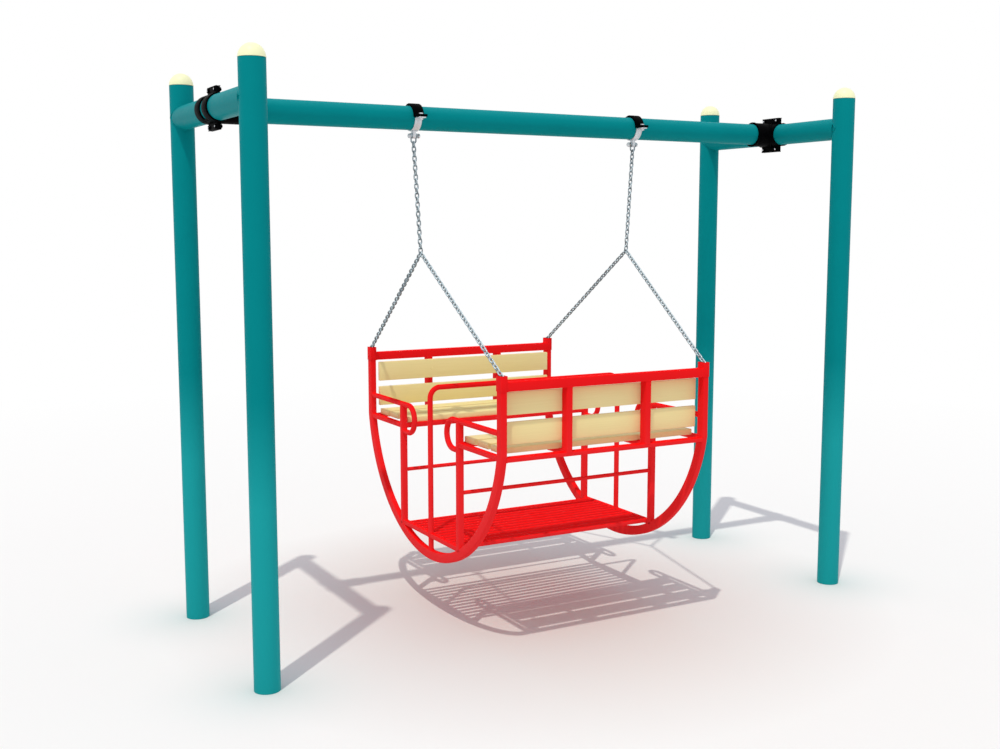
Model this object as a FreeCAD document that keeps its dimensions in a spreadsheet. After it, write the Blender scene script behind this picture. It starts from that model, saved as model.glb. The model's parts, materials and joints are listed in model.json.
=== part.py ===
import FreeCAD, Part
import math
import os
import re
import Sketcher

Vector = FreeCAD.Vector

document = FreeCAD.newDocument("JhoolaSwing")
sheet = document.addObject("Spreadsheet::Sheet", "sizes")

# Frame of reference: X runs along the beam, Y from front to back, Z up from the ground

drivers = [
    ("pipeDiameter", 114.3, "posts, cross tubes and beam"),
    ("pipeWall", 4, "wall of that pipe"),
    ("postX", 1616, "post axis from the middle, along the beam"),
    ("postY", 559.5, "post axis from the middle, front to back"),
    ("postHeight", 2645, "length of a post"),
    ("beamDrop", 155, "axis of the beam and the cross tubes below the top of a post"),
    ("copeGap", 0.2, "left for the weld where round tubes meet"),
    ("domeWall", 4, "wall of a domed post cap"),
    ("spigotLength", 40, "part of a post cap inside the pipe"),
    ("spigotFit", 0.25, "play of that spigot in the pipe"),
    ("castFit", 0.25, "play of the cast halves on the pipe"),
    ("castWall", 6.5, "wall of the cast half shells"),
    ("saddleHalf", 81, "half the length of the inner saddle"),
    ("shellHalf", 94, "half the length of the outer shell"),
    ("windowWidth", 41, "window between the two bands of the outer shell"),
    ("windowHeight", 98, "height of that window"),
    ("flangeHalf", 70, "half the length of a clamp flange"),
    ("flangeReach", 95, "flange edge from the tube axis"),
    ("flangeThickness", 8, "thickness of a clamp flange"),
    ("flangeLip", 3, "lip that thickens the edge of a flange"),
    ("partingGap", 2, "between the two halves of a clamp"),
    ("collarReach", 149, "mouth of the beam collar from the post axis"),
    ("collarWall", 8, "wall of the beam collar"),
    ("collarBead", 12, "width of the bead round the collar mouth"),
    ("clampBoltY", 52, "clamp bolt from the middle of the clamp"),
    ("clampBoltRise", 80, "clamp bolt from the tube axis"),
    ("frameBolt", 10, "diameter of the clamp and hanger bolts"),
    ("boltFit", 0.1, "play round a bolt in its hole"),
    ("endGap", 0.3, "left at the end of the beam"),
    ("hangerX", 645, "middle of a hanger from the middle of the beam"),
    ("upperBandWidth", 52, "width of the upper half band"),
    ("upperBandWall", 12, "thickness of the upper half band"),
    ("lowerBandWidth", 36, "width of the lower half band"),
    ("lowerBandWall", 5, "thickness of the lower half band"),
    ("earReach", 107, "edge of the bolted ears from the beam axis"),
    ("earThickness", 12, "thickness of an upper ear"),
    ("hangerGap", 1, "between the upper and the lower ears"),
    ("hangerBoltY", 88, "hanger bolt from the beam axis"),
    ("pivotDrop", 84, "swing axis below the beam axis"),
    ("lugThickness", 16, "thickness of the hanger lug"),
    ("lugRadius", 13, "round end of the lug"),
    ("pivotBolt", 12, "diameter of the pivot bolt"),
    ("pivotFit", 0.08, "running play of bolt and bush"),
    ("pivotStandoff", 7, "bare shank beside the bolt head"),
    ("bushWall", 2, "wall of a pivot bush"),
    ("pressFit", 0.03, "play of the bush in its eye"),
    ("sidePlay", 0.5, "play beside the stirrup eyes"),
    ("stirrupRod", 8, "rod of the stirrup"),
    ("stirrupEye", 12.5, "outer radius of a stirrup eye"),
    ("stirrupDrop", 34, "swing axis to the middle of the stirrup bow"),
    ("chainRod", 7, "rod of the chain links"),
    ("linkWidth", 24.5, "outer width of a link"),
    ("linkPitch", 22.2, "pitch of the chain, before it is fitted"),
    ("linkPlay", 0.25, "play between links"),
    ("junctionInset", 34, "junction nearer to the middle than the hanger"),
    ("junctionShare", 0.4482, "junction of the chains, as a share of the way from sleeves to beam"),
    ("hoopX", 566, "plane of a hoop from the middle"),
    ("hoopWidth", 30, "width of the hoop tube"),
    ("hoopDepth", 48, "depth of the hoop tube in its own plane"),
    ("hoopWall", 2.5, "wall of the hoop tube"),
    ("hoopReach", 737.7, "middle of an upright hoop leg"),
    ("hoopBulge", 10.3, "outer radius of the bow past the outside of the legs"),
    ("hoopBottom", 296, "lowest point of the hoops over the ground"),
    ("capTop", 1312, "top of the sleeves on the hoops"),
    ("capLength", 71, "length of a sleeve"),
    ("capWall", 2, "wall of a sleeve"),
    ("capFit", 0.2, "play of a sleeve on the hoop"),
    ("capFree", 24, "sleeve standing over the end of the hoop"),
    ("anchorPin", 8, "diameter of the pin in a sleeve"),
    ("anchorDrop", 9, "pin below the top of the sleeve"),
    ("anchorOffset", 10, "pin outward from the middle of the sleeve"),
    ("squareTube", 30, "tube of the seat posts, width of the uprights"),
    ("slimTube", 25, "tube of the seat rails and deck rails"),
    ("tubeWall", 2, "wall of those tubes"),
    ("weldGap", 0.2, "left for the welds of the gondola"),
    ("railTop", 1283, "top of the upper back rail"),
    ("railHeight", 42, "height of that rail"),
    ("uprightX", 221, "uprights and seat supports from the middle"),
    ("seatRailTop", 947, "top of the seat rails"),
    ("backRailTop", 940, "top of the lower back rail"),
    ("backRailHeight", 20, "height of the lower back rail"),
    ("seatDepth", 414.7, "seat posts and front seat rail from the hoop leg"),
    ("armHeight", 1048, "axis of the armrest tube"),
    ("armTube", 28, "diameter of the armrest tube"),
    ("armFall", 143, "armrest axis down to its returning end"),
    ("armOverhang", 65, "start of the armrest curl past the seat post"),
    ("guardHeight", 699, "axis of the leg guard"),
    ("guardTube", 20, "diameter of the leg guard"),
    ("grabTube", 27, "diameter of the grab rail"),
    ("grabHeight", 1172, "axis of the grab rail bar"),
    ("grabBend", 55, "corner radius of the grab rail"),
    ("deckTop", 432, "top of the deck rails"),
    ("barWidth", 24, "width of a deck bar"),
    ("barHeight", 20, "height of a deck bar"),
    ("barDrop", 3, "deck bars below the top of the deck rails"),
    ("barInset", 47.6, "middle of the outermost deck bar from the seat posts"),
    ("boardHalf", 540, "half the length of the boards"),
    ("seatBoardWidth", 104, "width of a seat board"),
    ("seatBoardGap", 26, "gap between seat boards"),
    ("seatBoardThickness", 28, "thickness of a seat board"),
    ("seatBoardInset", 1, "front edge of the first seat board behind the middle of the posts"),
    ("backBoardWidth", 104, "height of a back board"),
    ("backBoardThickness", 20, "thickness of a back board"),
    ("backBoardLow", 991, "lower edge of the lower back board"),
    ("backBoardHigh", 1127, "lower edge of the upper back board"),
    ("boardRound", 3, "rounded edge of the boards"),
    ("boardBolt", 8, "diameter of the bolts in the boards"),
    ("boardHead", 3.5, "height of their flat heads, sunk in the boards"),
    ("overrun", 20, "cutters past the surface that they cut"),
]

# Shares of the bolt diameter, for heads and nuts
headRadiusShare = 0.98
headHeightShare = 0.64
nutHeightShare = 0.8
flatHeadShare = 1.1
barCount = 13
seatBoardCount = 3

# Sizes worked out from the driving dimensions
worked = {
    "pipeRadius": "pipeDiameter / 2",
    "castBore": "pipeRadius + castFit",
    "saddleOuter": "castBore + castWall",
    "beamHalf": "postX - saddleOuter - endGap",
    "beamHeight": "postHeight - beamDrop",
    "pivotHeight": "beamHeight - pivotDrop",
    "eyeOffset": "(lugThickness + stirrupRod) / 2 + sidePlay",
    "eyeBore": "pivotBolt / 2 + pivotFit + bushWall + pressFit",
    "bushOuter": "pivotBolt / 2 + pivotFit + bushWall",
    "hoopOuterY": "hoopReach + hoopDepth / 2",
    "hoopInnerY": "hoopReach - hoopDepth / 2",
    "hoopTop": "capTop - capFree",
    "hoopRadius": "hoopOuterY + hoopBulge",
    "hoopCentre": "hoopBottom + hoopRadius",
    "hoopFace": "hoopX - hoopWidth / 2",
    "capHalfX": "hoopWidth / 2 + capFit + capWall",
    "capHalfY": "hoopDepth / 2 + capFit + capWall",
    "bowInner": "hoopRadius - hoopDepth - weldGap",
    "frameInnerY": "hoopInnerY - weldGap",
    "capMiddle": "capTop - capLength / 2",
    "anchorY": "hoopReach + anchorOffset",
    "anchorHeight": "capTop - anchorDrop",
    "seatRailMiddle": "seatRailTop - slimTube / 2",
    "seatPostY": "hoopReach - seatDepth",
    "armTurnY": "seatPostY - armOverhang",
    "deckRailMiddle": "deckTop - slimTube / 2",
    "deckRailFace": "hoopX - slimTube / 2",
    "barMiddle": "deckTop - barDrop - barHeight / 2",
    "outerBarY": "seatPostY - barInset",
    "backBoardY": "hoopInnerY - backBoardThickness / 2",
    "backBoardFace": "hoopInnerY - backBoardThickness",
    "seatBoardMiddle": "seatRailTop + seatBoardThickness / 2",
    "seatBoardFace": "seatRailTop + seatBoardThickness",
    "junctionX": "hangerX - junctionInset",
    "junctionHeight": "capTop + junctionShare * (beamHeight - capTop)",
}

for row, (name, value, note) in enumerate(drivers, start=1):
    sheet.set("A%d" % row, name)
    sheet.set("B%d" % row, str(value))
    sheet.set("C%d" % row, note)
    sheet.setAlias("B%d" % row, name)
document.recompute()

driverNames = {name for name, value, note in drivers}
nodes = {}

ends = (("left", -1), ("right", 1))
depths = (("front", -1), ("back", 1))


def size(name):
    return float(sheet.get(name))


def formula(text):
    def swap(match):
        word = match.group(0)
        if word in worked:
            return "(" + formula(worked[word]) + ")"
        if word in driverNames:
            return "sizes." + word
        return word
    return re.sub(r"[A-Za-z]\w*", swap, str(text))


def bind(item, **formulas):
    for name, text in formulas.items():
        item.setExpression(name, formula(text))


def place(item, x, y, z):
    for axis, text in zip("xyz", (x, y, z)):
        item.setExpression(".Placement.Base." + axis, formula(text))


def keep(label, item):
    item.Label = label
    nodes[label] = item
    return item


# Solids centred on a place, with their sizes bound to the sheet

def block(x, y, z, length, width, height):
    item = document.addObject("Part::Box", "Block")
    bind(item, Length=length, Width=width, Height=height)
    place(item, f"{x} - ({length}) / 2", f"{y} - ({width}) / 2", f"{z} - ({height}) / 2")
    return item


axisTurns = {
    "X": FreeCAD.Rotation(Vector(0, 1, 0), 90),
    "Y": FreeCAD.Rotation(Vector(1, 0, 0), -90),
    "Z": FreeCAD.Rotation(),
}


def placeAlong(item, axis, x, y, z, length):
    item.Placement = FreeCAD.Placement(Vector(), axisTurns[axis])
    middle = {"X": x, "Y": y, "Z": z}
    middle[axis] = f"{middle[axis]} - ({length}) / 2"
    place(item, middle["X"], middle["Y"], middle["Z"])


def rod(axis, x, y, z, radius, length):
    item = document.addObject("Part::Cylinder", "Rod")
    bind(item, Radius=radius, Height=length)
    placeAlong(item, axis, x, y, z, length)
    return item


def hexagon(axis, x, y, z, radius, length):
    item = document.addObject("Part::Prism", "Hexagon")
    item.Polygon = 6
    bind(item, Circumradius=radius, Height=length)
    placeAlong(item, axis, x, y, z, length)
    return item


def bend(x, y, z, turnRadius, radius, angle, start, quarter):
    item = document.addObject("Part::Torus", "Bend")
    bind(item, Radius1=turnRadius, Radius2=radius)
    item.Angle3 = angle
    turn = FreeCAD.Rotation(start, quarter, start.cross(quarter), "XYZ")
    item.Placement = FreeCAD.Placement(Vector(), turn)
    place(item, x, y, z)
    return item


def cut(base, *tools):
    for tool in tools:
        item = document.addObject("Part::Cut", "Cut")
        item.Base = base
        item.Tool = tool
        base = item
    return base


def fuse(*shapes):
    item = document.addObject("Part::MultiFuse", "Fuse")
    item.Shapes = list(shapes)
    item.Refine = True
    return item


def common(*shapes):
    item = document.addObject("Part::MultiCommon", "Common")
    item.Shapes = list(shapes)
    return item


def group(*shapes):
    item = document.addObject("Part::Compound", "Group")
    item.Links = list(shapes)
    return item


def squareRun(axis, x, y, z, length, across, height):
    # A rectangular tube with open ends
    inner = {"X": (f"{length} + overrun", f"{across} - 2 * tubeWall", f"{height} - 2 * tubeWall"),
             "Y": (f"{across} - 2 * tubeWall", f"{length} + overrun", f"{height} - 2 * tubeWall"),
             "Z": (f"{across} - 2 * tubeWall", f"{height} - 2 * tubeWall", f"{length} + overrun")}
    outer = {"X": (length, across, height), "Y": (across, length, height), "Z": (across, height, length)}
    return cut(block(x, y, z, *outer[axis]), block(x, y, z, *inner[axis]))


def originPlane(body, role):
    return [plane for plane in body.Origin.OriginFeatures if plane.Role == role][0]


# Teal pipe portal

def makePosts():
    for depth, ySign in depths:
        for end, xSign in ends:
            x = f"{xSign} * postX"
            y = f"{ySign} * postY"
            outer = rod("Z", x, y, "postHeight / 2", "pipeRadius", "postHeight")
            bore = rod("Z", x, y, "postHeight / 2", "pipeRadius - pipeWall", "postHeight + overrun")
            keep(f"post_{depth}_{end}", cut(outer, bore))
            keep(f"post_cap_{depth}_{end}", makeDome(x, y))


def makeDome(x, y):
    spigot = "pipeRadius - pipeWall - spigotFit"
    dome = document.addObject("Part::Sphere", "Dome")
    hollow = document.addObject("Part::Sphere", "DomeHollow")
    for ball, radius in ((dome, "pipeRadius"), (hollow, f"{spigot} - domeWall")):
        bind(ball, Radius=radius)
        ball.Angle1 = 0
        ball.Angle2 = 90
        place(ball, x, y, "postHeight")
    plug = rod("Z", x, y, "postHeight - spigotLength / 2", spigot, "spigotLength")
    bore = rod("Z", x, y, "postHeight - spigotLength / 2", f"{spigot} - domeWall", "spigotLength")
    mouth = rod("Z", x, y, "postHeight - spigotLength", f"{spigot} - domeWall", "domeWall")
    return cut(fuse(dome, plug), hollow, bore, mouth)


def makeCrossTubes():
    for end, xSign in ends:
        x = f"{xSign} * postX"
        tube = rod("Y", x, "0", "beamHeight", "pipeRadius", "2 * postY")
        bore = rod("Y", x, "0", "beamHeight", "pipeRadius - pipeWall", "2 * postY + overrun")
        copes = [rod("Z", x, f"{ySign} * postY", "beamHeight", "pipeRadius + copeGap", "2 * pipeDiameter")
                 for depth, ySign in depths]
        keep(f"cross_tube_{end}", cut(tube, bore, *copes))


def makeBeam():
    outer = rod("X", "0", "0", "beamHeight", "pipeRadius", "2 * beamHalf")
    bore = rod("X", "0", "0", "beamHeight", "pipeRadius - pipeWall", "2 * beamHalf + overrun")
    keep("top_beam", cut(outer, bore))


# Cast clamps that hold the beam on the cross tubes

def clampHoles(xSign):
    return [rod("X", f"{xSign} * postX", f"{ySign} * clampBoltY",
                f"beamHeight + {zSign} * clampBoltRise", "frameBolt / 2 + boltFit", "4 * flangeThickness")
            for ySign in (-1, 1) for zSign in (-1, 1)]


def flanges(xSign, towards):
    # The two flanges of a clamp half, which lies towards or away from the middle
    x = f"{xSign} * postX + {towards} * (partingGap + flangeThickness) / 2"
    lipX = f"{xSign} * postX + {towards} * (partingGap / 2 + flangeThickness)"
    parts = []
    for zSign in (-1, 1):
        middle = f"beamHeight + {zSign} * (castBore + castWall / 2 + flangeReach) / 2"
        parts.append(block(x, "0", middle, "flangeThickness", "2 * flangeHalf",
                           "flangeReach - castBore - castWall / 2"))
        edge = f"beamHeight + {zSign} * (flangeReach - flangeLip / 2)"
        parts.append(block(lipX, "0", edge, "flangeLip", "2 * flangeHalf", "flangeLip"))
    return parts


def halfSpace(xSign, towards):
    # The block that one half of a clamp lies in
    return block(f"{xSign} * postX + {towards} * (partingGap / 2 + collarReach)", "0", "beamHeight",
                 "2 * collarReach", "4 * shellHalf", "4 * shellHalf")


def makeClamps():
    for end, xSign in ends:
        x = f"{xSign} * postX"
        inward = -xSign
        bore = rod("Y", x, "0", "beamHeight", "castBore", "2 * shellHalf + overrun")
        saddle = rod("Y", x, "0", "beamHeight", "saddleOuter", "2 * saddleHalf")
        collar = rod("X", f"{xSign} * (postX - collarReach / 2)", "0", "beamHeight",
                     "castBore + collarWall", "collarReach")
        bead = rod("X", f"{xSign} * (postX - collarReach + collarBead / 2)", "0", "beamHeight",
                   "castBore + collarWall + flangeLip", "collarBead")
        solid = common(fuse(saddle, collar, bead, *flanges(xSign, inward)), halfSpace(xSign, inward))
        socket = rod("X", f"{xSign} * (postX - saddleOuter - collarReach / 2)", "0", "beamHeight",
                     "castBore", "collarReach")
        keep(f"clamp_inner_{end}", cut(solid, bore, socket, *clampHoles(xSign)))

        outerBore = rod("Y", x, "0", "beamHeight", "castBore", "2 * shellHalf + overrun")
        shell = rod("Y", x, "0", "beamHeight", "saddleOuter", "2 * shellHalf")
        window = block(f"{xSign} * (postX + castBore)", "0", "beamHeight", "castBore", "windowWidth",
                       "windowHeight")
        solid = common(fuse(shell, *flanges(xSign, xSign)), halfSpace(xSign, xSign))
        keep(f"clamp_outer_{end}", cut(solid, outerBore, window, *clampHoles(xSign)))


# Bolts and nuts: direction is +1 where the head lies on the positive side

def hexBolt(axis, middle, diameter, grip, direction, tail):
    # A bolt through grip, centred on middle, with a shank that sticks out past the nut
    x, y, z = middle
    spot = {"X": x, "Y": y, "Z": z}
    headMiddle = dict(spot)
    headMiddle[axis] += f" + {direction} * (({grip}) + {headHeightShare} * {diameter}) / 2"
    shankMiddle = dict(spot)
    shankMiddle[axis] += f" - {direction} * ({tail}) / 2"
    head = hexagon(axis, *headMiddle.values(), f"{headRadiusShare} * {diameter}",
                   f"{headHeightShare} * {diameter}")
    shank = rod(axis, *shankMiddle.values(), f"{diameter} / 2", f"{grip} + {tail}")
    return fuse(head, shank)


def hexNut(axis, middle, diameter, grip, direction):
    x, y, z = middle
    spot = {"X": x, "Y": y, "Z": z}
    spot[axis] += f" - {direction} * (({grip}) + {nutHeightShare} * {diameter}) / 2"
    body = hexagon(axis, *spot.values(), f"{headRadiusShare} * {diameter}", f"{nutHeightShare} * {diameter}")
    hole = rod(axis, *spot.values(), f"{diameter} / 2 + boltFit", f"2 * {diameter}")
    return cut(body, hole)


def makeFrameFasteners():
    tail = f"{nutHeightShare} * frameBolt + 2 * boltFit + flangeLip"
    clampGrip = "2 * flangeThickness + partingGap + 2 * boltFit"
    clampBolts = []
    nuts = []
    for end, xSign in ends:
        for ySign in (-1, 1):
            for zSign in (-1, 1):
                middle = (f"{xSign} * postX", f"{ySign} * clampBoltY",
                          f"beamHeight + {zSign} * clampBoltRise")
                clampBolts.append(hexBolt("X", middle, "frameBolt", clampGrip, xSign, tail))
                nuts.append(hexNut("X", middle, "frameBolt", clampGrip, xSign))
    keep("clamp_bolts", group(*clampBolts))

    hangerGrip = "earThickness + lowerBandWall + hangerGap + 2 * boltFit"
    hangerBolts = []
    pivotBolts = []
    for end, xSign in ends:
        for ySign in (-1, 1):
            middle = (f"{xSign} * hangerX", f"{ySign} * hangerBoltY",
                      "beamHeight + (earThickness - lowerBandWall) / 2")
            hangerBolts.append(hexBolt("Z", middle, "frameBolt", hangerGrip, 1, tail))
            nuts.append(hexNut("Z", middle, "frameBolt", hangerGrip, 1))
        pivotTail = f"{nutHeightShare} * pivotBolt + flangeLip"
        pivotGrip = "2 * (eyeOffset + stirrupRod / 2 + sidePlay) + pivotStandoff"
        middle = (f"{xSign} * (hangerX - pivotStandoff / 2)", "0", "pivotHeight")
        pivotBolts.append(hexBolt("X", middle, "pivotBolt", pivotGrip, -xSign, pivotTail))
        nuts.append(hexNut("X", middle, "pivotBolt", pivotGrip, -xSign))
    keep("hanger_bolts", group(*hangerBolts))
    keep("pivot_bolts", group(*pivotBolts))
    keep("lock_nuts", group(*nuts))


# Hangers: a black upper half band and a galvanised lower one with the lug

def makeHangers():
    for end, xSign in ends:
        x = f"{xSign} * hangerX"
        upperZ = "beamHeight + (hangerGap + earThickness) / 2"
        lowerZ = "beamHeight - (hangerGap + lowerBandWall) / 2"
        earLength = "2 * earReach"
        band = rod("X", x, "0", "beamHeight", "castBore + upperBandWall", "upperBandWidth")
        ears = block(x, "0", upperZ, "upperBandWidth", earLength, "earThickness")
        above = block(x, "0", "beamHeight + hangerGap / 2 + pipeDiameter",
                      "2 * upperBandWidth", "4 * earReach", "2 * pipeDiameter")
        bore = rod("X", x, "0", "beamHeight", "castBore", "2 * upperBandWidth")
        holes = [rod("Z", x, f"{ySign} * hangerBoltY", "beamHeight", "frameBolt / 2 + boltFit",
                     "pipeDiameter") for ySign in (-1, 1)]
        keep(f"hanger_upper_{end}", cut(common(fuse(band, ears), above), bore, *holes))

        band = rod("X", x, "0", "beamHeight", "castBore + lowerBandWall", "lowerBandWidth")
        ears = block(x, "0", lowerZ, "lowerBandWidth", earLength, "lowerBandWall")
        below = block(x, "0", "beamHeight - hangerGap / 2 - pipeDiameter",
                      "2 * upperBandWidth", "4 * earReach", "2 * pipeDiameter")
        neck = block(x, "0", "(beamHeight - pipeRadius + pivotHeight) / 2", "lugThickness",
                     "2 * lugRadius", "beamHeight - pipeRadius - pivotHeight")
        eye = rod("X", x, "0", "pivotHeight", "lugRadius", "lugThickness")
        bore = rod("X", x, "0", "beamHeight", "castBore", "2 * upperBandWidth")
        pin = rod("X", x, "0", "pivotHeight", "pivotBolt / 2 + pivotFit", "2 * lugThickness")
        holes = [rod("Z", x, f"{ySign} * hangerBoltY", "beamHeight", "frameBolt / 2 + boltFit",
                     "pipeDiameter") for ySign in (-1, 1)]
        solid = common(fuse(band, ears, neck, eye), below)
        keep(f"hanger_lower_{end}", cut(solid, bore, pin, *holes))


# Stirrups with their bushes, which turn on the pivot bolts

def makeStirrups():
    for end, xSign in ends:
        x = f"{xSign} * hangerX"
        bowMiddle = "pivotHeight - stirrupDrop + eyeOffset"
        legMiddle = "pivotHeight - (stirrupDrop - eyeOffset) / 2"
        parts = []
        bores = []
        bushes = []
        for side in (-1, 1):
            at = f"{x} + {side} * eyeOffset"
            parts.append(rod("X", at, "0", "pivotHeight", "stirrupEye", "stirrupRod"))
            parts.append(rod("Z", at, "0", legMiddle, "stirrupRod / 2", "stirrupDrop - eyeOffset"))
            bores.append(rod("X", at, "0", "pivotHeight", "eyeBore", "2 * stirrupRod"))
            sleeve = rod("X", at, "0", "pivotHeight", "bushOuter", "stirrupRod")
            bushes.append(cut(sleeve, rod("X", at, "0", "pivotHeight", "pivotBolt / 2 + pivotFit",
                                          "2 * stirrupRod")))
        parts.append(bend(x, "0", bowMiddle, "eyeOffset", "stirrupRod / 2", 180,
                          Vector(1, 0, 0), Vector(0, 0, -1)))
        keep(f"stirrup_{end}", cut(fuse(*parts), *bores))
        keep(f"pivot_bush_{end}", group(*bushes))


# Chains of separate links

def markPlace(name, x, y, z):
    # A named reference point, read back once its formulas are worked out
    point = document.addObject("Part::Vertex", name)
    bind(point, X=x, Y=y, Z=z)
    point.recompute()
    return Vector(float(point.X), float(point.Y), float(point.Z))


def linkSolid(innerLength):
    # One link along X, flat in the XY plane
    radius = size("chainRod") / 2
    turn = size("linkWidth") / 2 - radius
    straight = innerLength + 2 * radius - 2 * turn
    pieces = []
    for side in (-1, 1):
        pieces.append(Part.makeCylinder(radius, straight, Vector(-straight / 2, side * turn, 0),
                                        Vector(1, 0, 0)))
        bow = Part.makeTorus(turn, radius, Vector(), Vector(0, 0, 1), 0, 360, 180)
        bow.rotate(Vector(), Vector(0, 0, 1), -90 * side)
        bow.translate(Vector(side * straight / 2, 0, 0))
        pieces.append(bow)
    return pieces[0].fuse(pieces[1:]).removeSplitter()


def placedLink(link, centre, along, across):
    copy = link.copy()
    turn = FreeCAD.Rotation(along, across, along.cross(across), "XYZ")
    copy.Placement = FreeCAD.Placement(centre, turn)
    return copy


def chainFeature(label, first, last, across):
    # An even number of links, each turned a quarter from the one before, between two end rods
    rodSize = size("chainRod")
    play = size("linkPlay")
    along = last - first
    distance = along.Length
    along.normalize()
    across = (across - along * across.dot(along)).normalize()
    count = 2 * round((distance - rodSize) / size("linkPitch") / 2)
    pitch = (distance - rodSize - play) / count
    link = linkSolid(pitch + play)
    links = []
    for index in range(count):
        centre = first + along * ((pitch + play + rodSize) / 2 + pitch * index)
        width = across if index % 2 == 0 else along.cross(across)
        links.append(placedLink(link, centre, along, width))
    feature = document.addObject("Part::Feature", label)
    feature.Shape = Part.makeCompound(links)
    feature.Placement = FreeCAD.Placement()
    keep(label, feature)
    print(label, count, "links, pitch", round(pitch, 3))


def makeChains():
    rodSize = size("chainRod")
    play = size("linkPlay")
    turn = (size("linkWidth") - rodSize) / 2
    apexLength = size("linkPitch") + play
    apexHalf = (apexLength + rodSize) / 2 - turn
    for end, xSign in ends:
        bow = markPlace(f"stirrup_bow_{end}", f"{xSign} * hangerX", "0", "pivotHeight - stirrupDrop")
        junction = markPlace(f"junction_{end}", f"{xSign} * junctionX", "0", "junctionHeight")
        down = (junction - bow).normalize()
        first = bow - down * (size("stirrupRod") / 2 + play + rodSize / 2)
        chainFeature(f"main_chain_{end}", first, junction, Vector(0, 1, 0))

        # The apex link hangs by the middle of its upper rod in the last link of the main chain
        apexCentre = junction + down * (turn - rodSize - play)
        apex = document.addObject("Part::Feature", f"apex_link_{end}")
        apex.Shape = placedLink(linkSolid(apexLength), apexCentre, Vector(0, 1, 0), down)
        keep(f"apex_link_{end}", apex)

        for depth, ySign in depths:
            pin = markPlace(f"anchor_{depth}_{end}", f"{xSign} * hoopX", f"{ySign} * anchorY",
                            "anchorHeight")
            corner = apexCentre + Vector(0, ySign * apexHalf, 0)
            pull = (pin - corner).normalize()
            first = corner + pull * (turn - rodSize - play)
            last = pin + pull * (size("anchorPin") / 2 + play + rodSize / 2)
            chainFeature(f"bridle_{depth}_{end}", first, last, Vector(1, 0, 0))


# Hoops: bent rectangular tubes, open at their upper ends

def hoopSketch(body, name, inset, top):
    sketch = body.newObject("Sketcher::SketchObject", name)
    sketch.AttachmentSupport = [(originPlane(body, "YZ_Plane"), "")]
    sketch.MapMode = "FlatFace"
    upper = size("capTop")
    outside = size("hoopReach") + size("hoopDepth") / 2
    inside = outside - size("hoopDepth")
    centre = size("hoopBottom") + outside + size("hoopBulge")
    legs = {"outer": (outside, outside + size("hoopBulge")), "inner": (inside, inside + size("hoopBulge"))}
    reach = {"outer": f"hoopOuterY - {inset}", "inner": f"hoopInnerY + {inset}"}
    radii = {"outer": f"hoopRadius - {inset}", "inner": f"hoopRadius - hoopDepth + {inset}"}
    rails = {}
    for side, (across, radius) in legs.items():
        low = centre - (radius ** 2 - across ** 2) ** 0.5
        swing = math.acos(across / radius)
        circle = Part.Circle(Vector(0, centre, 0), Vector(0, 0, 1), radius)
        arc = sketch.addGeometry(Part.ArcOfCircle(circle, swing - math.pi, -swing))
        left = sketch.addGeometry(Part.LineSegment(Vector(-across, low, 0), Vector(-across, upper, 0)))
        right = sketch.addGeometry(Part.LineSegment(Vector(across, low, 0), Vector(across, upper, 0)))
        rails[side] = (left, right)
        sketch.addConstraint(Sketcher.Constraint("Coincident", arc, 1, left, 1))
        sketch.addConstraint(Sketcher.Constraint("Coincident", arc, 2, right, 1))
        sketch.addConstraint(Sketcher.Constraint("PointOnObject", arc, 3, -2))
        sketch.addConstraint(Sketcher.Constraint("Vertical", left))
        sketch.addConstraint(Sketcher.Constraint("Vertical", right))
        height = sketch.addConstraint(Sketcher.Constraint("DistanceY", -1, 1, arc, 3, centre))
        sketch.setExpression("Constraints[%d]" % height, formula("hoopCentre"))
        bow = sketch.addConstraint(Sketcher.Constraint("Radius", arc, radius))
        sketch.setExpression("Constraints[%d]" % bow, formula(radii[side]))
        for line, sign in ((left, -1), (right, 1)):
            spread = sketch.addConstraint(Sketcher.Constraint("DistanceX", -1, 1, line, 2, sign * across))
            sketch.setExpression("Constraints[%d]" % spread, formula(f"{sign} * ({reach[side]})"))
            rise = sketch.addConstraint(Sketcher.Constraint("DistanceY", -1, 1, line, 2, upper))
            sketch.setExpression("Constraints[%d]" % rise, formula(top))
    for index in (0, 1):
        outer = rails["outer"][index]
        inner = rails["inner"][index]
        ends = [sketch.Geometry[line].EndPoint for line in (outer, inner)]
        bridge = sketch.addGeometry(Part.LineSegment(*ends))
        sketch.addConstraint(Sketcher.Constraint("Coincident", bridge, 1, outer, 2))
        sketch.addConstraint(Sketcher.Constraint("Coincident", bridge, 2, inner, 2))
    return sketch


def makeHoops():
    for end, xSign in ends:
        body = document.addObject("PartDesign::Body", f"hoop_{end}")
        pad = body.newObject("PartDesign::Pad", "Tube")
        pad.Profile = hoopSketch(body, "Outline", "0", "hoopTop")
        pad.Midplane = True
        bind(pad, Length="hoopWidth")
        document.recompute()
        before = body.Shape.Volume
        pocket = body.newObject("PartDesign::Pocket", "Bore")
        pocket.Profile = hoopSketch(body, "BoreOutline", "hoopWall", "hoopTop + overrun")
        pocket.Midplane = True
        bind(pocket, Length="hoopWidth - 2 * hoopWall")
        document.recompute()
        if not body.Shape.Volume < before:
            raise ValueError("the bore of the hoop cuts nothing")
        place(body, f"{xSign} * hoopX", "0", "0")
        keep(f"hoop_{end}", body)


# Sleeves on the hoops, open for the chains, and their pins

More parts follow.
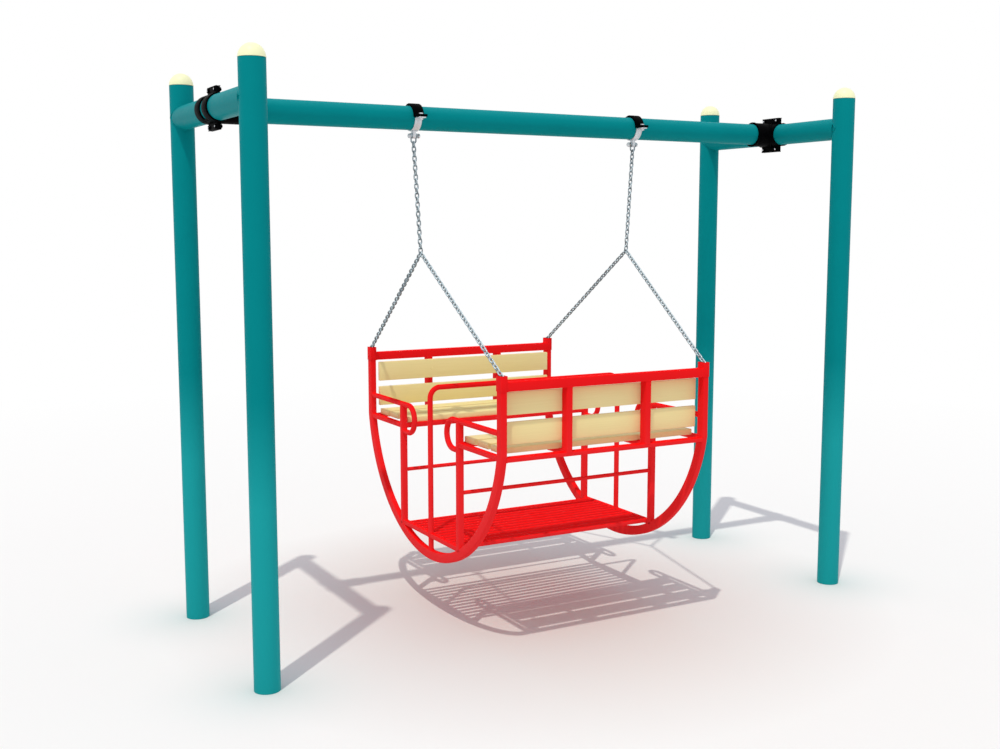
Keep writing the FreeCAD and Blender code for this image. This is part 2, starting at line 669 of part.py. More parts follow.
def makeCaps():
    sleeves = []
    pins = []
    for end, xSign in ends:
        for depth, ySign in depths:
            x = f"{xSign} * hoopX"
            y = f"{ySign} * hoopReach"
            outer = block(x, y, "capMiddle", "2 * capHalfX", "2 * capHalfY", "capLength")
            inner = block(x, y, "capMiddle", "2 * (capHalfX - capWall)", "2 * (capHalfY - capWall)",
                          "capLength + overrun")
            pinY = f"{ySign} * anchorY"
            hole = rod("X", x, pinY, "anchorHeight", "anchorPin / 2 + boltFit", "4 * capHalfX")
            sleeves.append(cut(outer, inner, hole))
            pins.append(rod("X", x, pinY, "anchorHeight", "anchorPin / 2", "2 * capHalfX"))
    keep("hoop_caps", group(*sleeves))
    keep("anchor_pins", group(*pins))


# Holes and places that the boards share with the frames under them

def boltHoles(axis, places, length):
    return [rod(axis, *spot, "boardBolt / 2 + boltFit", length) for spot in places]


def seatBoardY(ySign, index):
    return (f"{ySign} * (seatPostY + seatBoardInset + seatBoardWidth / 2"
            f" + {index} * (seatBoardWidth + seatBoardGap))")


# Backrest frames

def makeBenchFrames():
    for depth, ySign in depths:
        y = f"{ySign} * hoopReach"
        topRail = squareRun("X", "0", y, "railTop - railHeight / 2", "2 * (hoopX - capHalfX - weldGap)",
                            "hoopDepth", "railHeight")
        lowRail = squareRun("X", "0", y, "backRailTop - backRailHeight / 2", "2 * (hoopFace - weldGap)",
                            "hoopDepth", "backRailHeight")
        parts = [topRail, lowRail]
        gap = "railTop - railHeight - backRailTop - 2 * weldGap"
        middle = "(railTop - railHeight + backRailTop) / 2"
        for side in (-1, 1):
            x = f"{side} * uprightX"
            upright = squareRun("Z", x, y, middle, gap, "squareTube", "hoopDepth")
            places = [(x, f"{ySign} * hoopInnerY", f"{low} + backBoardWidth / 2")
                      for low in ("backBoardLow", "backBoardHigh")]
            parts.append(cut(upright, *boltHoles("Y", places, "slimTube")))
        keep(f"bench_frame_{depth}", group(*parts))


# Seat frames: side rails, front rail, supports and the posts that stand on the hoops

def bowDisc(x):
    # The round space inside a hoop, which trims what is welded to its inner face
    return rod("X", x, "0", "hoopCentre", "bowInner", "4 * hoopWidth")


def makeSeatFrames():
    for depth, ySign in depths:
        frontY = f"{ySign} * seatPostY"
        parts = [squareRun("X", "0", frontY, "seatRailMiddle", "2 * (hoopX - squareTube / 2 - weldGap)",
                           "slimTube", "slimTube")]
        runStart = "seatPostY + slimTube / 2 + weldGap"
        for side in (-1, 1):
            support = squareRun("Y", f"{side} * uprightX", f"{ySign} * ({runStart} + frameInnerY) / 2",
                                "seatRailMiddle", f"frameInnerY - ({runStart})", "slimTube", "slimTube")
            places = [(f"{side} * uprightX", seatBoardY(ySign, index), "seatRailTop")
                      for index in range(seatBoardCount)]
            parts.append(cut(support, *boltHoles("Z", places, "slimTube")))
            x = f"{side} * hoopX"
            post = squareRun("Z", x, frontY, "(hoopBottom + armHeight) / 2", "armHeight - hoopBottom",
                             "squareTube", "squareTube")
            saddle = rod("Y", x, frontY, "armHeight", "armTube / 2 + weldGap", "2 * squareTube")
            parts.append(cut(common(post, bowDisc(x)), saddle))
            railStart = "seatPostY + squareTube / 2 + weldGap"
            rail = squareRun("Y", x, f"{ySign} * ({railStart} + frameInnerY) / 2", "seatRailMiddle",
                             f"frameInnerY - ({railStart})", "slimTube", "slimTube")
            parts.append(common(rail, bowDisc(x)))
        keep(f"seat_frame_{depth}", group(*parts))


# Round tubes: armrests, leg guards and the grab rail

def makeArmrests():
    startY = "frameInnerY"
    endY = "seatPostY - squareTube / 2 - weldGap"
    for depth, ySign in depths:
        for end, xSign in ends:
            x = f"{xSign} * hoopX"
            skins = []
            for radius, extra in (("armTube / 2", "0"), ("armTube / 2 - tubeWall", "overrun")):
                long = rod("Y", x, f"{ySign} * (armTurnY + {startY} + {extra}) / 2", "armHeight", radius,
                           f"{startY} + {extra} - armTurnY")
                short = rod("Y", x, f"{ySign} * (armTurnY + {endY} + {extra}) / 2", "armHeight - armFall",
                            radius, f"{endY} + {extra} - armTurnY")
                curl = bend(x, f"{ySign} * armTurnY", "armHeight - armFall / 2", "armFall / 2", radius, 180,
                            Vector(0, 0, 1), Vector(0, -ySign, 0))
                skins.append(fuse(long, curl, short))
            keep(f"armrest_{depth}_{end}", cut(*skins))


def makeLegGuards():
    for depth, ySign in depths:
        length = "2 * (hoopX - squareTube / 2 - weldGap)"
        place3 = ("0", f"{ySign} * seatPostY", "guardHeight")
        outer = rod("X", *place3, "guardTube / 2", length)
        bore = rod("X", *place3, "guardTube / 2 - tubeWall", f"{length} + overrun")
        keep(f"leg_guard_{depth}", cut(outer, bore))


def makeGrabRail():
    foot = "hoopCentre - bowInner"
    skins = []
    for radius, extra in (("grabTube / 2", "0"), ("grabTube / 2 - tubeWall", "overrun")):
        parts = [rod("X", "0", "0", "grabHeight", radius, "2 * (hoopX - grabBend)")]
        for side in (-1, 1):
            top = "grabHeight - grabBend"
            bottom = f"{foot} - {extra}"
            parts.append(rod("Z", f"{side} * hoopX", "0", f"({top} + {bottom}) / 2", radius,
                             f"{top} - ({bottom})"))
            parts.append(bend(f"{side} * (hoopX - grabBend)", "0", top, "grabBend", radius, 90,
                              Vector(side, 0, 0), Vector(0, 0, 1)))
        skins.append(fuse(*parts))
    # The feet follow the curve of the hoops
    keep("grab_rail", cut(common(skins[0], rod("X", "0", "0", "hoopCentre", "bowInner", "4 * hoopX")),
                          skins[1]))


# Foot deck

def makeDeck():
    rails = []
    for side in (-1, 1):
        x = f"{side} * hoopX"
        rail = squareRun("Y", x, "0", "deckRailMiddle", "2 * (seatPostY - squareTube / 2 - weldGap)",
                         "slimTube", "slimTube")
        leg = rod("Z", x, "0", "deckRailMiddle", "grabTube / 2 + weldGap", "2 * slimTube")
        rails.append(cut(common(rail, bowDisc(x)), leg))
    keep("deck_frame", group(*rails))
    bars = []
    for index in range(barCount):
        y = f"outerBarY * {2 * index - barCount + 1} / {barCount - 1}"
        bar = squareRun("X", "0", y, "barMiddle", "2 * (deckRailFace - weldGap)", "barWidth", "barHeight")
        if 2 * index == barCount - 1:
            # The middle bar stops at the legs of the grab rail
            legs = [rod("Z", f"{side} * hoopX", "0", "barMiddle", "grabTube / 2 + weldGap", "2 * slimTube")
                    for side in (-1, 1)]
            bar = cut(bar, *legs)
        bars.append(bar)
    keep("deck_bars", group(*bars))


# Boards with rounded edges, drilled for bolts with flat heads

def boardBody(name, width, thickness, upright):
    body = document.addObject("PartDesign::Body", name)
    sketch = body.newObject("Sketcher::SketchObject", "Section")
    sketch.AttachmentSupport = [(originPlane(body, "YZ_Plane"), "")]
    sketch.MapMode = "FlatFace"
    across, rise = (thickness, width) if upright else (width, thickness)
    halfY = size(across) / 2
    halfZ = size(rise) / 2
    corners = [(-1, -1), (1, -1), (1, 1), (-1, 1)]
    for index, (a, b) in enumerate(corners):
        c, d = corners[(index + 1) % 4]
        sketch.addGeometry(Part.LineSegment(Vector(a * halfY, b * halfZ, 0), Vector(c * halfY, d * halfZ, 0)))
    for index in range(4):
        sketch.addConstraint(Sketcher.Constraint("Coincident", index, 2, (index + 1) % 4, 1))
        sketch.addConstraint(Sketcher.Constraint("Horizontal" if index % 2 == 0 else "Vertical", index))
    for kind, corner, text, value in (("DistanceX", 0, f"-{across} / 2", -halfY),
                                      ("DistanceY", 0, f"-{rise} / 2", -halfZ),
                                      ("DistanceX", 2, f"{across} / 2", halfY),
                                      ("DistanceY", 2, f"{rise} / 2", halfZ)):
        number = sketch.addConstraint(Sketcher.Constraint(kind, -1, 1, corner, 1, value))
        sketch.setExpression("Constraints[%d]" % number, formula(text))
    pad = body.newObject("PartDesign::Pad", "Board")
    pad.Profile = sketch
    pad.Midplane = True
    bind(pad, Length="2 * boardHalf")
    document.recompute()
    edges = ["Edge%d" % number for number, edge in enumerate(pad.Shape.Edges, start=1)
             if abs(edge.Vertexes[0].X - edge.Vertexes[-1].X) > size("boardHalf")]
    fillet = body.newObject("PartDesign::Fillet", "Rounding")
    fillet.Base = (pad, edges)
    bind(fillet, Radius="boardRound")
    return body


def shifted(spot, axis, text):
    moved = dict(zip("XYZ", spot))
    moved[axis] += text
    return tuple(moved.values())


def sunkHole(axis, face):
    # The recess for a flat head, open at the face of the board
    return rod(axis, *face, f"{flatHeadShare} * boardBolt + boltFit", "2 * (boardHead + boltFit)")


def sunkBolt(axis, face, grip, direction):
    # A flat head level with the face of the board, and a shank past the nut inside the tube
    length = f"{grip} + {nutHeightShare} * boardBolt + boardHead"
    head = rod(axis, *shifted(face, axis, f" - {direction} * boardHead / 2"),
               f"{flatHeadShare} * boardBolt", "boardHead")
    shank = rod(axis, *shifted(face, axis, f" - {direction} * ({length}) / 2"), "boardBolt / 2", length)
    return fuse(head, shank)


def makeBoards():
    bolts = []
    nuts = []
    for depth, ySign in depths:
        for level, low in (("upper", "backBoardHigh"), ("lower", "backBoardLow")):
            body = boardBody(f"back_{depth}_{level}", "backBoardWidth", "backBoardThickness", True)
            z = f"{low} + backBoardWidth / 2"
            place(body, "0", f"{ySign} * backBoardY", z)
            holes = []
            grip = "backBoardThickness + tubeWall + boltFit"
            for side in (-1, 1):
                x = f"{side} * uprightX"
                face = (x, f"{ySign} * backBoardFace", z)
                holes += boltHoles("Y", [(x, f"{ySign} * backBoardY", z)], "2 * backBoardThickness")
                holes.append(sunkHole("Y", face))
                bolts.append(sunkBolt("Y", face, grip, -ySign))
                nuts.append(hexNut("Y", shifted(face, "Y", f" + {ySign} * ({grip}) / 2"), "boardBolt",
                                   grip, -ySign))
            keep(f"back_board_{depth}_{level}", cut(body, *holes))
        boards = []
        for index in range(seatBoardCount):
            body = boardBody(f"seat_{depth}_{index}", "seatBoardWidth", "seatBoardThickness", False)
            y = seatBoardY(ySign, index)
            place(body, "0", y, "seatBoardMiddle")
            holes = []
            grip = "seatBoardThickness + tubeWall + boltFit"
            for side in (-1, 1):
                x = f"{side} * uprightX"
                face = (x, y, "seatBoardFace")
                holes += boltHoles("Z", [(x, y, "seatBoardMiddle")], "2 * seatBoardThickness")
                holes.append(sunkHole("Z", face))
                bolts.append(sunkBolt("Z", face, grip, 1))
                nuts.append(hexNut("Z", shifted(face, "Z", f" - ({grip}) / 2"), "boardBolt", grip, 1))
            boards.append(cut(body, *holes))
        keep(f"seat_boards_{depth}", group(*boards))
    keep("board_bolts", group(*bolts))
    keep("board_nuts", group(*nuts))


makePosts()
makeCrossTubes()
makeBeam()
makeClamps()
makeFrameFasteners()
makeHangers()
makeStirrups()
makeChains()
makeHoops()
makeCaps()
makeBenchFrames()
makeSeatFrames()
makeArmrests()
makeLegGuards()
makeGrabRail()
makeDeck()
makeBoards()
document.recompute()

faults = [item.Label for item in document.Objects if "Invalid" in item.State or "Error" in item.State]
faults += [label for label, item in nodes.items() if item.Shape.isNull() or not item.Shape.isValid()]
faults += [label for label, item in nodes.items() if not item.Shape.Solids]
if faults:
    raise ValueError("these objects failed: " + ", ".join(sorted(set(faults))))

os.makedirs("parts", exist_ok=True)
for label, item in nodes.items():
    item.Shape.exportStep("parts/%s.step" % label)
print(len(nodes), "nodes,", sum(len(item.Shape.Solids) for item in nodes.values()), "solids")
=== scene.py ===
import bpy
import bmesh
import json
from math import acos, pi, radians, sin, sqrt
from mathutils import Matrix, Vector


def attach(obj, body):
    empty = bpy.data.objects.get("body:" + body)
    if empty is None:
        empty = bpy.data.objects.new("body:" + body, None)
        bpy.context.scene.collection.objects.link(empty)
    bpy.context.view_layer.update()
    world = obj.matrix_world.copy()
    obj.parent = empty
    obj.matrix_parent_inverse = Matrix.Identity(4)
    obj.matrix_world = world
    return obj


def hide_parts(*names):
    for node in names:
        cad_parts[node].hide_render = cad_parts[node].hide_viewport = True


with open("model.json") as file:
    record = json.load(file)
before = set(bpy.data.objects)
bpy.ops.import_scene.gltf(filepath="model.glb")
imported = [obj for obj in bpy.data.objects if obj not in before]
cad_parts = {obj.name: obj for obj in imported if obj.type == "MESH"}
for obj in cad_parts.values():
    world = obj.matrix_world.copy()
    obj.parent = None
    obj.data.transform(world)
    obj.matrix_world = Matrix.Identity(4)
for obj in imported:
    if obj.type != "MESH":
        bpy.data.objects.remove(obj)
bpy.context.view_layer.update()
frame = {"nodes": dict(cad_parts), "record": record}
nodes = frame["nodes"]
print("frame loaded:", len(nodes), "nodes")


# Shader helpers: the nodes of a tree stand in a row, in the order they are made

def addNode(tree, kind, **values):
    node = tree.nodes.new(kind)
    node.location = (200 * len(tree.nodes), 0)
    for name, value in values.items():
        if name in node.inputs:
            node.inputs[name].default_value = value
        else:
            setattr(node, name, value)
    return node


def feed(tree, socket, value):
    if isinstance(value, bpy.types.NodeSocket):
        tree.links.new(value, socket)
    else:
        socket.default_value = value


def mixColour(tree, factor, first, second):
    mix = addNode(tree, "ShaderNodeMix", data_type="RGBA")
    for number, value in ((0, factor), (6, first), (7, second)):
        feed(tree, mix.inputs[number], value)
    return mix.outputs[2]


def mathNode(tree, operation, first, second, clamp=False):
    node = addNode(tree, "ShaderNodeMath", operation=operation, use_clamp=clamp)
    feed(tree, node.inputs[0], first)
    feed(tree, node.inputs[1], second)
    return node.outputs[0]


def vectorNode(tree, operation, first, second=(0, 0, 0)):
    node = addNode(tree, "ShaderNodeVectorMath", operation=operation)
    feed(tree, node.inputs[0], first)
    feed(tree, node.inputs[1], second)
    return node.outputs


def zOf(tree, vector):
    split = addNode(tree, "ShaderNodeSeparateXYZ")
    tree.links.new(vector, split.inputs[0])
    return split.outputs["Z"]


def noiseNode(tree, vector, scale, detail, roughness):
    noise = addNode(tree, "ShaderNodeTexNoise", Detail=detail, Roughness=roughness)
    tree.links.new(vector, noise.inputs["Vector"])
    feed(tree, noise.inputs["Scale"], scale)
    return noise.outputs["Fac"]


def spread(tree, value, low, high, outLow=0.0, outHigh=1.0):
    # Takes low to outLow and high to outHigh, and goes no further at either end
    remap = addNode(tree, "ShaderNodeMapRange")
    for name, number in (("Value", value), ("From Min", low), ("From Max", high), ("To Min", outLow),
                         ("To Max", outHigh)):
        feed(tree, remap.inputs[name], number)
    return remap.outputs["Result"]


def startSkin(name, inputs):
    # A node group with the outputs that every skin has
    tree = bpy.data.node_groups.new(name, "ShaderNodeTree")
    for label, value in inputs.items():
        kind = "Color" if isinstance(value, tuple) else "Float"
        socket = tree.interface.new_socket(label, in_out="INPUT", socket_type="NodeSocket" + kind)
        socket.default_value = value
    for label, kind in (("Colour", "Color"), ("Roughness", "Float"), ("Height", "Float")):
        tree.interface.new_socket(label, in_out="OUTPUT", socket_type="NodeSocket" + kind)
    given = addNode(tree, "NodeGroupInput").outputs
    spot = addNode(tree, "ShaderNodeTexCoord").outputs["Object"]
    return tree, given, spot


def endSkin(tree, colour, roughness, height):
    leave = addNode(tree, "NodeGroupOutput")
    tree.links.new(colour, leave.inputs["Colour"])
    tree.links.new(roughness, leave.inputs["Roughness"])
    tree.links.new(height, leave.inputs["Height"])
    return tree


# Paint sprayed on steel: slight mottle, orange peel, and specks of a second tint on upper faces, which are
# part dust and part painted light that makes the tops brighter. Low down it is paler, painted light that
# stands in for the bright ground seen in the gloss. Three numbers of a noise are its scale, detail and
# roughness;
# where there are two, the scale is an input of the group.

paintMasks = {"patches": (7.0, 3.0, 0.55), "patchBand": (0.35, 0.75), "fine": (60.0, 4.0, 0.6),
              "peel": (1.5, 0.4), "upward": (0.35, 1.0), "settledDustAndLight": (0.25, 0.6, 0.5, 1.0),
              "low": (1.25, 0.8), "grit": (0.3, 0.7, -0.03, 0.05), "speckRough": 0.3}


def buildPaintSkin():
    look = paintMasks
    tree, given, spot = startSkin("paintSkin", {
        "Paint": (1, 0, 0, 1), "Deep": (0.5, 0, 0, 1), "Upper": (0.8, 0.75, 0.7, 1), "Mottle": 0.2,
        "UpperDustAndPaintedLightAmount": 0.1, "Low": (0.8, 0.75, 0.7, 1), "PaintedFloorGlowAmount": 0.0, "Gloss": 0.3, "PeelScale": 260.0})
    fine = noiseNode(tree, spot, *look["fine"])
    patches = noiseNode(tree, spot, *look["patches"])
    patches = spread(tree, patches, *look["patchBand"], 0.0, given["Mottle"])
    colour = mixColour(tree, patches, given["Paint"], given["Deep"])
    # Painted light: the colour goes paler low down, standing in for light from the bright floor
    low = mathNode(tree, "MULTIPLY", spread(tree, zOf(tree, spot), *look["low"]), given["PaintedFloorGlowAmount"])
    colour = mixColour(tree, low, colour, given["Low"])
    facing = addNode(tree, "ShaderNodeNewGeometry").outputs["Normal"]
    # Painted light mixed with dust: faces turned up take the upper tint in specks, which for the teal and
    # red paint is a brighter tone
    upward = spread(tree, zOf(tree, facing), *look["upward"])
    settledDustAndLight = mathNode(tree, "MULTIPLY", upward, spread(tree, fine, *look["settledDustAndLight"]))
    specksAndPaintedLight = mathNode(tree, "MULTIPLY", settledDustAndLight, given["UpperDustAndPaintedLightAmount"])
    colour = mixColour(tree, specksAndPaintedLight, colour, given["Upper"])
    rough = mathNode(tree, "ADD", given["Gloss"], spread(tree, fine, *look["grit"]))
    rough = mathNode(tree, "ADD", rough, mathNode(tree, "MULTIPLY", specksAndPaintedLight, look["speckRough"]), clamp=True)
    return endSkin(tree, colour, rough, noiseNode(tree, spot, given["PeelScale"], *look["peel"]))


# Hot-dipped zinc: spangle cells with a dull bloom. With the light-and-shade input over 0, faces turned up
# are painted lighter and faces turned down darker, as painted light and shade

zincMasks = {"facet": 0.4, "bloom": (4.0, 0.6), "bloomBand": (0.3, 0.75, -0.1, 0.7),
             "under": (-0.3, 0.9, 0.5, -0.9), "rough": (0.0, 1.0, 0.3, 0.55), "grain": (500.0, 2.0, 0.5)}


def buildZincSkin():
    look = zincMasks
    tree, given, spot = startSkin("zincSkin", {
        "Bright": (0.7, 0.72, 0.73, 1), "Dull": (0.4, 0.42, 0.44, 1), "SpangleScale": 160.0,
        "BloomScale": 24.0, "PaintedLightAndShade": 0.0})
    cells = addNode(tree, "ShaderNodeTexVoronoi", feature="F1", Randomness=1.0)
    tree.links.new(spot, cells.inputs["Vector"])
    tree.links.new(given["SpangleScale"], cells.inputs["Scale"])
    shade = addNode(tree, "ShaderNodeSeparateColor")
    tree.links.new(cells.outputs["Color"], shade.inputs[0])
    facet = mathNode(tree, "MULTIPLY", shade.outputs[0], look["facet"])
    bloom = noiseNode(tree, spot, given["BloomScale"], *look["bloom"])
    dull = mathNode(tree, "ADD", facet, spread(tree, bloom, *look["bloomBand"]))
    facing = addNode(tree, "ShaderNodeNewGeometry").outputs["Normal"]
    # Painted light and shade: the dull share drops on faces turned up and grows on faces turned down
    under = mathNode(tree, "MULTIPLY", spread(tree, zOf(tree, facing), *look["under"]), given["PaintedLightAndShade"])
    dull = mathNode(tree, "ADD", dull, under, clamp=True)
    colour = mixColour(tree, dull, given["Bright"], given["Dull"])
    return endSkin(tree, colour, spread(tree, dull, *look["rough"]), noiseNode(tree, spot, *look["grain"]))


# Sand-cast iron under black enamel

castMasks = {"sand": (3.0, 0.6), "clouds": (30.0, 4.0, 0.6), "worn": (0.45, 0.8, 0.0, 0.6),
             "rough": (0.3, 0.7, 0.38, 0.55), "lump": 0.6}


def buildCastSkin():
    look = castMasks
    tree, given, spot = startSkin("castSkin", {
        "Enamel": (0.02, 0.02, 0.02, 1), "Worn": (0.08, 0.08, 0.08, 1), "SandScale": 700.0})
    sand = noiseNode(tree, spot, given["SandScale"], *look["sand"])
    clouds = noiseNode(tree, spot, *look["clouds"])
    colour = mixColour(tree, spread(tree, clouds, *look["worn"]), given["Enamel"], given["Worn"])
    lumps = mathNode(tree, "ADD", mathNode(tree, "MULTIPLY", clouds, look["lump"]), sand)
    return endSkin(tree, colour, spread(tree, clouds, *look["rough"]), lumps)


# Cream boards: fine grain that runs along X under a satin coat

boardMasks = {"stretch": (1.5, 60.0, 60.0), "grain": (3.0, 5.0, 0.6), "grainBand": (0.3, 0.75),
              "patches": (3.0, 2.0, 0.5), "patchBand": (0.4, 0.8, 0.0, 0.15),
              "rough": (0.3, 0.7, -0.04, 0.06)}


def buildBoardSkin():
    look = boardMasks
    tree, given, spot = startSkin("boardSkin", {
        "Cream": (0.8, 0.7, 0.4, 1), "Streak": (0.7, 0.6, 0.3, 1), "StreakAmount": 0.3, "Gloss": 0.45})
    stretch = addNode(tree, "ShaderNodeMapping", Scale=look["stretch"])
    tree.links.new(spot, stretch.inputs["Vector"])
    grain = noiseNode(tree, stretch.outputs["Vector"], *look["grain"])
    patches = noiseNode(tree, spot, *look["patches"])
    mask = mathNode(tree, "MULTIPLY", spread(tree, grain, *look["grainBand"]), given["StreakAmount"])
    mask = mathNode(tree, "ADD", mask, spread(tree, patches, *look["patchBand"]), clamp=True)
    colour = mixColour(tree, mask, given["Cream"], given["Streak"])
    rough = mathNode(tree, "ADD", given["Gloss"], spread(tree, grain, *look["rough"]))
    return endSkin(tree, colour, rough, grain)


skins = {"paint": buildPaintSkin(), "zinc": buildZincSkin(), "cast": buildCastSkin(),
         "board": buildBoardSkin()}

# Each bump is its strength and its distance
finishes = {
    # In the teal and red paint, the upper tint and the low tint are painted light: brighter tops and a
    # paler lower part
    "teal_paint": {
        "skin": "paint", "bump": (0.06, 0.0005), "specular": 0.02,
        "values": {"Paint": (0.001, 0.232, 0.246, 1), "Deep": (0.001, 0.195, 0.212, 1),
                   "Upper": (0.02, 0.36, 0.38, 1), "Mottle": 0.3, "UpperDustAndPaintedLightAmount": 0.45, "Gloss": 0.40,
                   "Low": (0.013, 0.365, 0.375, 1), "PaintedFloorGlowAmount": 0.85, "PeelScale": 240.0}},
    "red_paint": {
        "skin": "paint", "bump": (0.06, 0.0005), "specular": 0.02,
        "values": {"Paint": (0.87, 0.010, 0.012, 1), "Deep": (0.72, 0.007, 0.009, 1),
                   "Upper": (0.98, 0.0, 0.0, 1), "Mottle": 0.25, "UpperDustAndPaintedLightAmount": 0.9, "Gloss": 0.45,
                   "Low": (0.88, 0.025, 0.028, 1), "PaintedFloorGlowAmount": 0.9, "PeelScale": 260.0}},
    "black_casting": {
        "skin": "cast", "bump": (0.25, 0.0006), "specular": 0.01,
        "values": {"Enamel": (0.0012, 0.0012, 0.0014, 1), "Worn": (0.005, 0.005, 0.006, 1),
                   "SandScale": 700.0}},
    "galvanised_steel": {
        "skin": "zinc", "bump": (0.1, 0.0004), "metallic": 0.35, "specular": 0.3,
        "values": {"Bright": (0.76, 0.79, 0.81, 1), "Dull": (0.54, 0.57, 0.60, 1), "SpangleScale": 170.0,
                   "BloomScale": 26.0}},
    # Chain steel has a dark Dull and the full light-and-shade input, so the tops of its wires get painted
    # light and their undersides painted shade
    "chain_steel": {
        "skin": "zinc", "bump": (0.1, 0.0004), "metallic": 0.25, "specular": 0.2,
        "values": {"Bright": (0.56, 0.67, 0.72, 1), "Dull": (0.18, 0.21, 0.22, 1), "SpangleScale": 260.0,
                   "BloomScale": 60.0, "PaintedLightAndShade": 1.0}},
    "cream_boards": {
        "skin": "board", "bump": (0.12, 0.0008), "specular": 0.15,
        "values": {"Cream": (0.885, 0.765, 0.37, 1), "Streak": (0.78, 0.66, 0.29, 1),
                   "StreakAmount": 0.35, "Gloss": 0.45}},
    "cream_plastic": {
        "skin": "paint", "bump": (0.04, 0.0004), "specular": 0.25,
        "values": {"Paint": (0.95, 0.96, 0.60, 1), "Deep": (0.92, 0.92, 0.54, 1),
                   "Upper": (0.9, 0.9, 0.62, 1), "Mottle": 0.2, "UpperDustAndPaintedLightAmount": 0.08, "Gloss": 0.38,
                   "PeelScale": 180.0}},
    "bronze": {
        "skin": "zinc", "bump": (0.1, 0.0003), "metallic": 1.0, "specular": 0.5,
        "values": {"Bright": (0.72, 0.50, 0.24, 1), "Dull": (0.45, 0.28, 0.12, 1), "SpangleScale": 300.0,
                   "BloomScale": 40.0}},
}


def makeFinish(name, look):
    material = bpy.data.materials.new(name)
    material.use_nodes = True
    tree = material.node_tree
    tree.nodes.clear()
    skin = addNode(tree, "ShaderNodeGroup", node_tree=skins[look["skin"]])
    for label, value in look["values"].items():
        skin.inputs[label].default_value = value
    strength, distance = look["bump"]
    bump = addNode(tree, "ShaderNodeBump", Strength=strength, Distance=distance)
    shader = addNode(tree, "ShaderNodeBsdfPrincipled", Metallic=look.get("metallic", 0.0))
    shader.inputs["Specular IOR Level"].default_value = look["specular"]
    output = addNode(tree, "ShaderNodeOutputMaterial")
    tree.links.new(skin.outputs["Colour"], shader.inputs["Base Color"])
    tree.links.new(skin.outputs["Roughness"], shader.inputs["Roughness"])
    tree.links.new(skin.outputs["Height"], bump.inputs["Height"])
    tree.links.new(bump.outputs["Normal"], shader.inputs["Normal"])
    tree.links.new(shader.outputs[0], output.inputs["Surface"])
    return material


materials = {name: makeFinish(name, look) for name, look in finishes.items()}
slotOf = {node: entry["slot"] for entry in frame["record"]["materials"] for node in entry.get("nodes", [])}
for name, item in nodes.items():
    finish = slotOf.get(name) or item.material_slots[0].material.name.split(".")[0]
    for place in item.material_slots:
        place.material = materials[finish]
print("finishes placed")


# Modelling helpers: a part is made round the origin and then put in its place

layAlong = {"X": Matrix.Rotation(pi / 2, 4, "Y"), "Y": Matrix.Rotation(-pi / 2, 4, "X"), "Z": Matrix()}
origin = Vector((0, 0, 0))
both = (-1, 1)
ends = (("left", -1), ("right", 1))
depths = (("front", -1), ("back", 1))


def roundEdges(part, edges, size, steps=2):
    bmesh.ops.bevel(part, geom=list(edges), offset=size, offset_type="OFFSET", segments=steps, profile=0.5,
                    affect="EDGES", material=-1, clamp_overlap=True)


def sharpEdges(part, degrees):
    return [edge for edge in part.edges
            if len(edge.link_faces) == 2 and edge.calc_face_angle(0) > radians(degrees)]


def faceOut(part):
    part.normal_update()
    bmesh.ops.recalc_face_normals(part, faces=part.faces)


def closeRims(part):
    bmesh.ops.holes_fill(part, edges=[one for one in part.edges if one.is_boundary], sides=0)
    faceOut(part)


def cutAway(part, towards):
    # Takes away what lies past the origin in one direction, and leaves the cut open
    bmesh.ops.bisect_plane(part, geom=part.verts[:] + part.edges[:] + part.faces[:], dist=0.00001,
                           plane_co=origin, plane_no=towards, clear_outer=True)


def extrude(part, edges):
    made = bmesh.ops.extrude_edge_only(part, edges=edges)["geom"]
    verts = [one for one in made if isinstance(one, bmesh.types.BMVert)]
    fresh = set(verts)
    return verts, [one for one in made if isinstance(one, bmesh.types.BMEdge)
                   and one.verts[0] in fresh and one.verts[1] in fresh]


def spin(part, edges, middle, axis, angle, steps, merge=False):
    corners = list(dict.fromkeys(vert for one in edges for vert in one.verts))
    made = bmesh.ops.spin(part, geom=corners + edges, cent=middle, axis=axis, dvec=origin, angle=angle,
                          steps=steps, use_merge=merge, use_duplicate=False)["geom_last"]
    return [one for one in made if isinstance(one, bmesh.types.BMEdge)]


def carry(part, edges, *moves):
    # Carries edges along runs and turns, and gives those where they end
    for kind, *values in moves:
        if kind == "run":
            verts, edges = extrude(part, edges)
            bmesh.ops.translate(part, vec=values[0], verts=verts)
        else:
            edges = spin(part, edges, *values)
    return edges


def sweep(part, *moves):
    carry(part, part.edges[:], *moves)
    closeRims(part)
    return part


def rod(radius, length, sides, edge=0.0):
    part = bmesh.new()
    bmesh.ops.create_cone(part, cap_ends=True, segments=sides, radius1=radius, radius2=radius, depth=length)
    if edge:
        roundEdges(part, sharpEdges(part, 70), edge)
    return part


def bar(size, edge, axis=None, steps=2):
    # A bar with its edges rounded, or only those that run along the given axis
    part = bmesh.new()
    bmesh.ops.create_cube(part, size=1)
    bmesh.ops.scale(part, vec=size, verts=part.verts)
    edges = part.edges[:]
    if axis:
        number = "XYZ".index(axis)
        edges = [one for one in edges if abs(one.verts[0].co[number] - one.verts[1].co[number]) > 0.0001]
    roundEdges(part, edges, edge, steps)
    return part


def ring(inner, outer, length, edge, sides, turn=2 * pi):
    # A turned section round Z; with half a turn it lies on the side of +Y
    part = bmesh.new()
    corners = [part.verts.new(spot) for spot in ((inner, 0, -length / 2), (outer, 0, -length / 2),
                                                 (outer, 0, length / 2), (inner, 0, length / 2))]
    edges = [part.edges.new((corners[number - 1], corners[number])) for number in range(4)]
    spin(part, edges, origin, (0, 0, 1), turn, sides, turn == 2 * pi)
    closeRims(part)
    roundEdges(part, sharpEdges(part, 50), edge)
    return part


def roundSection(radius, sides):
    # A ring of edges across Z, the section of a round tube
    part = bmesh.new()
    bmesh.ops.create_circle(part, segments=sides, radius=radius)
    return part


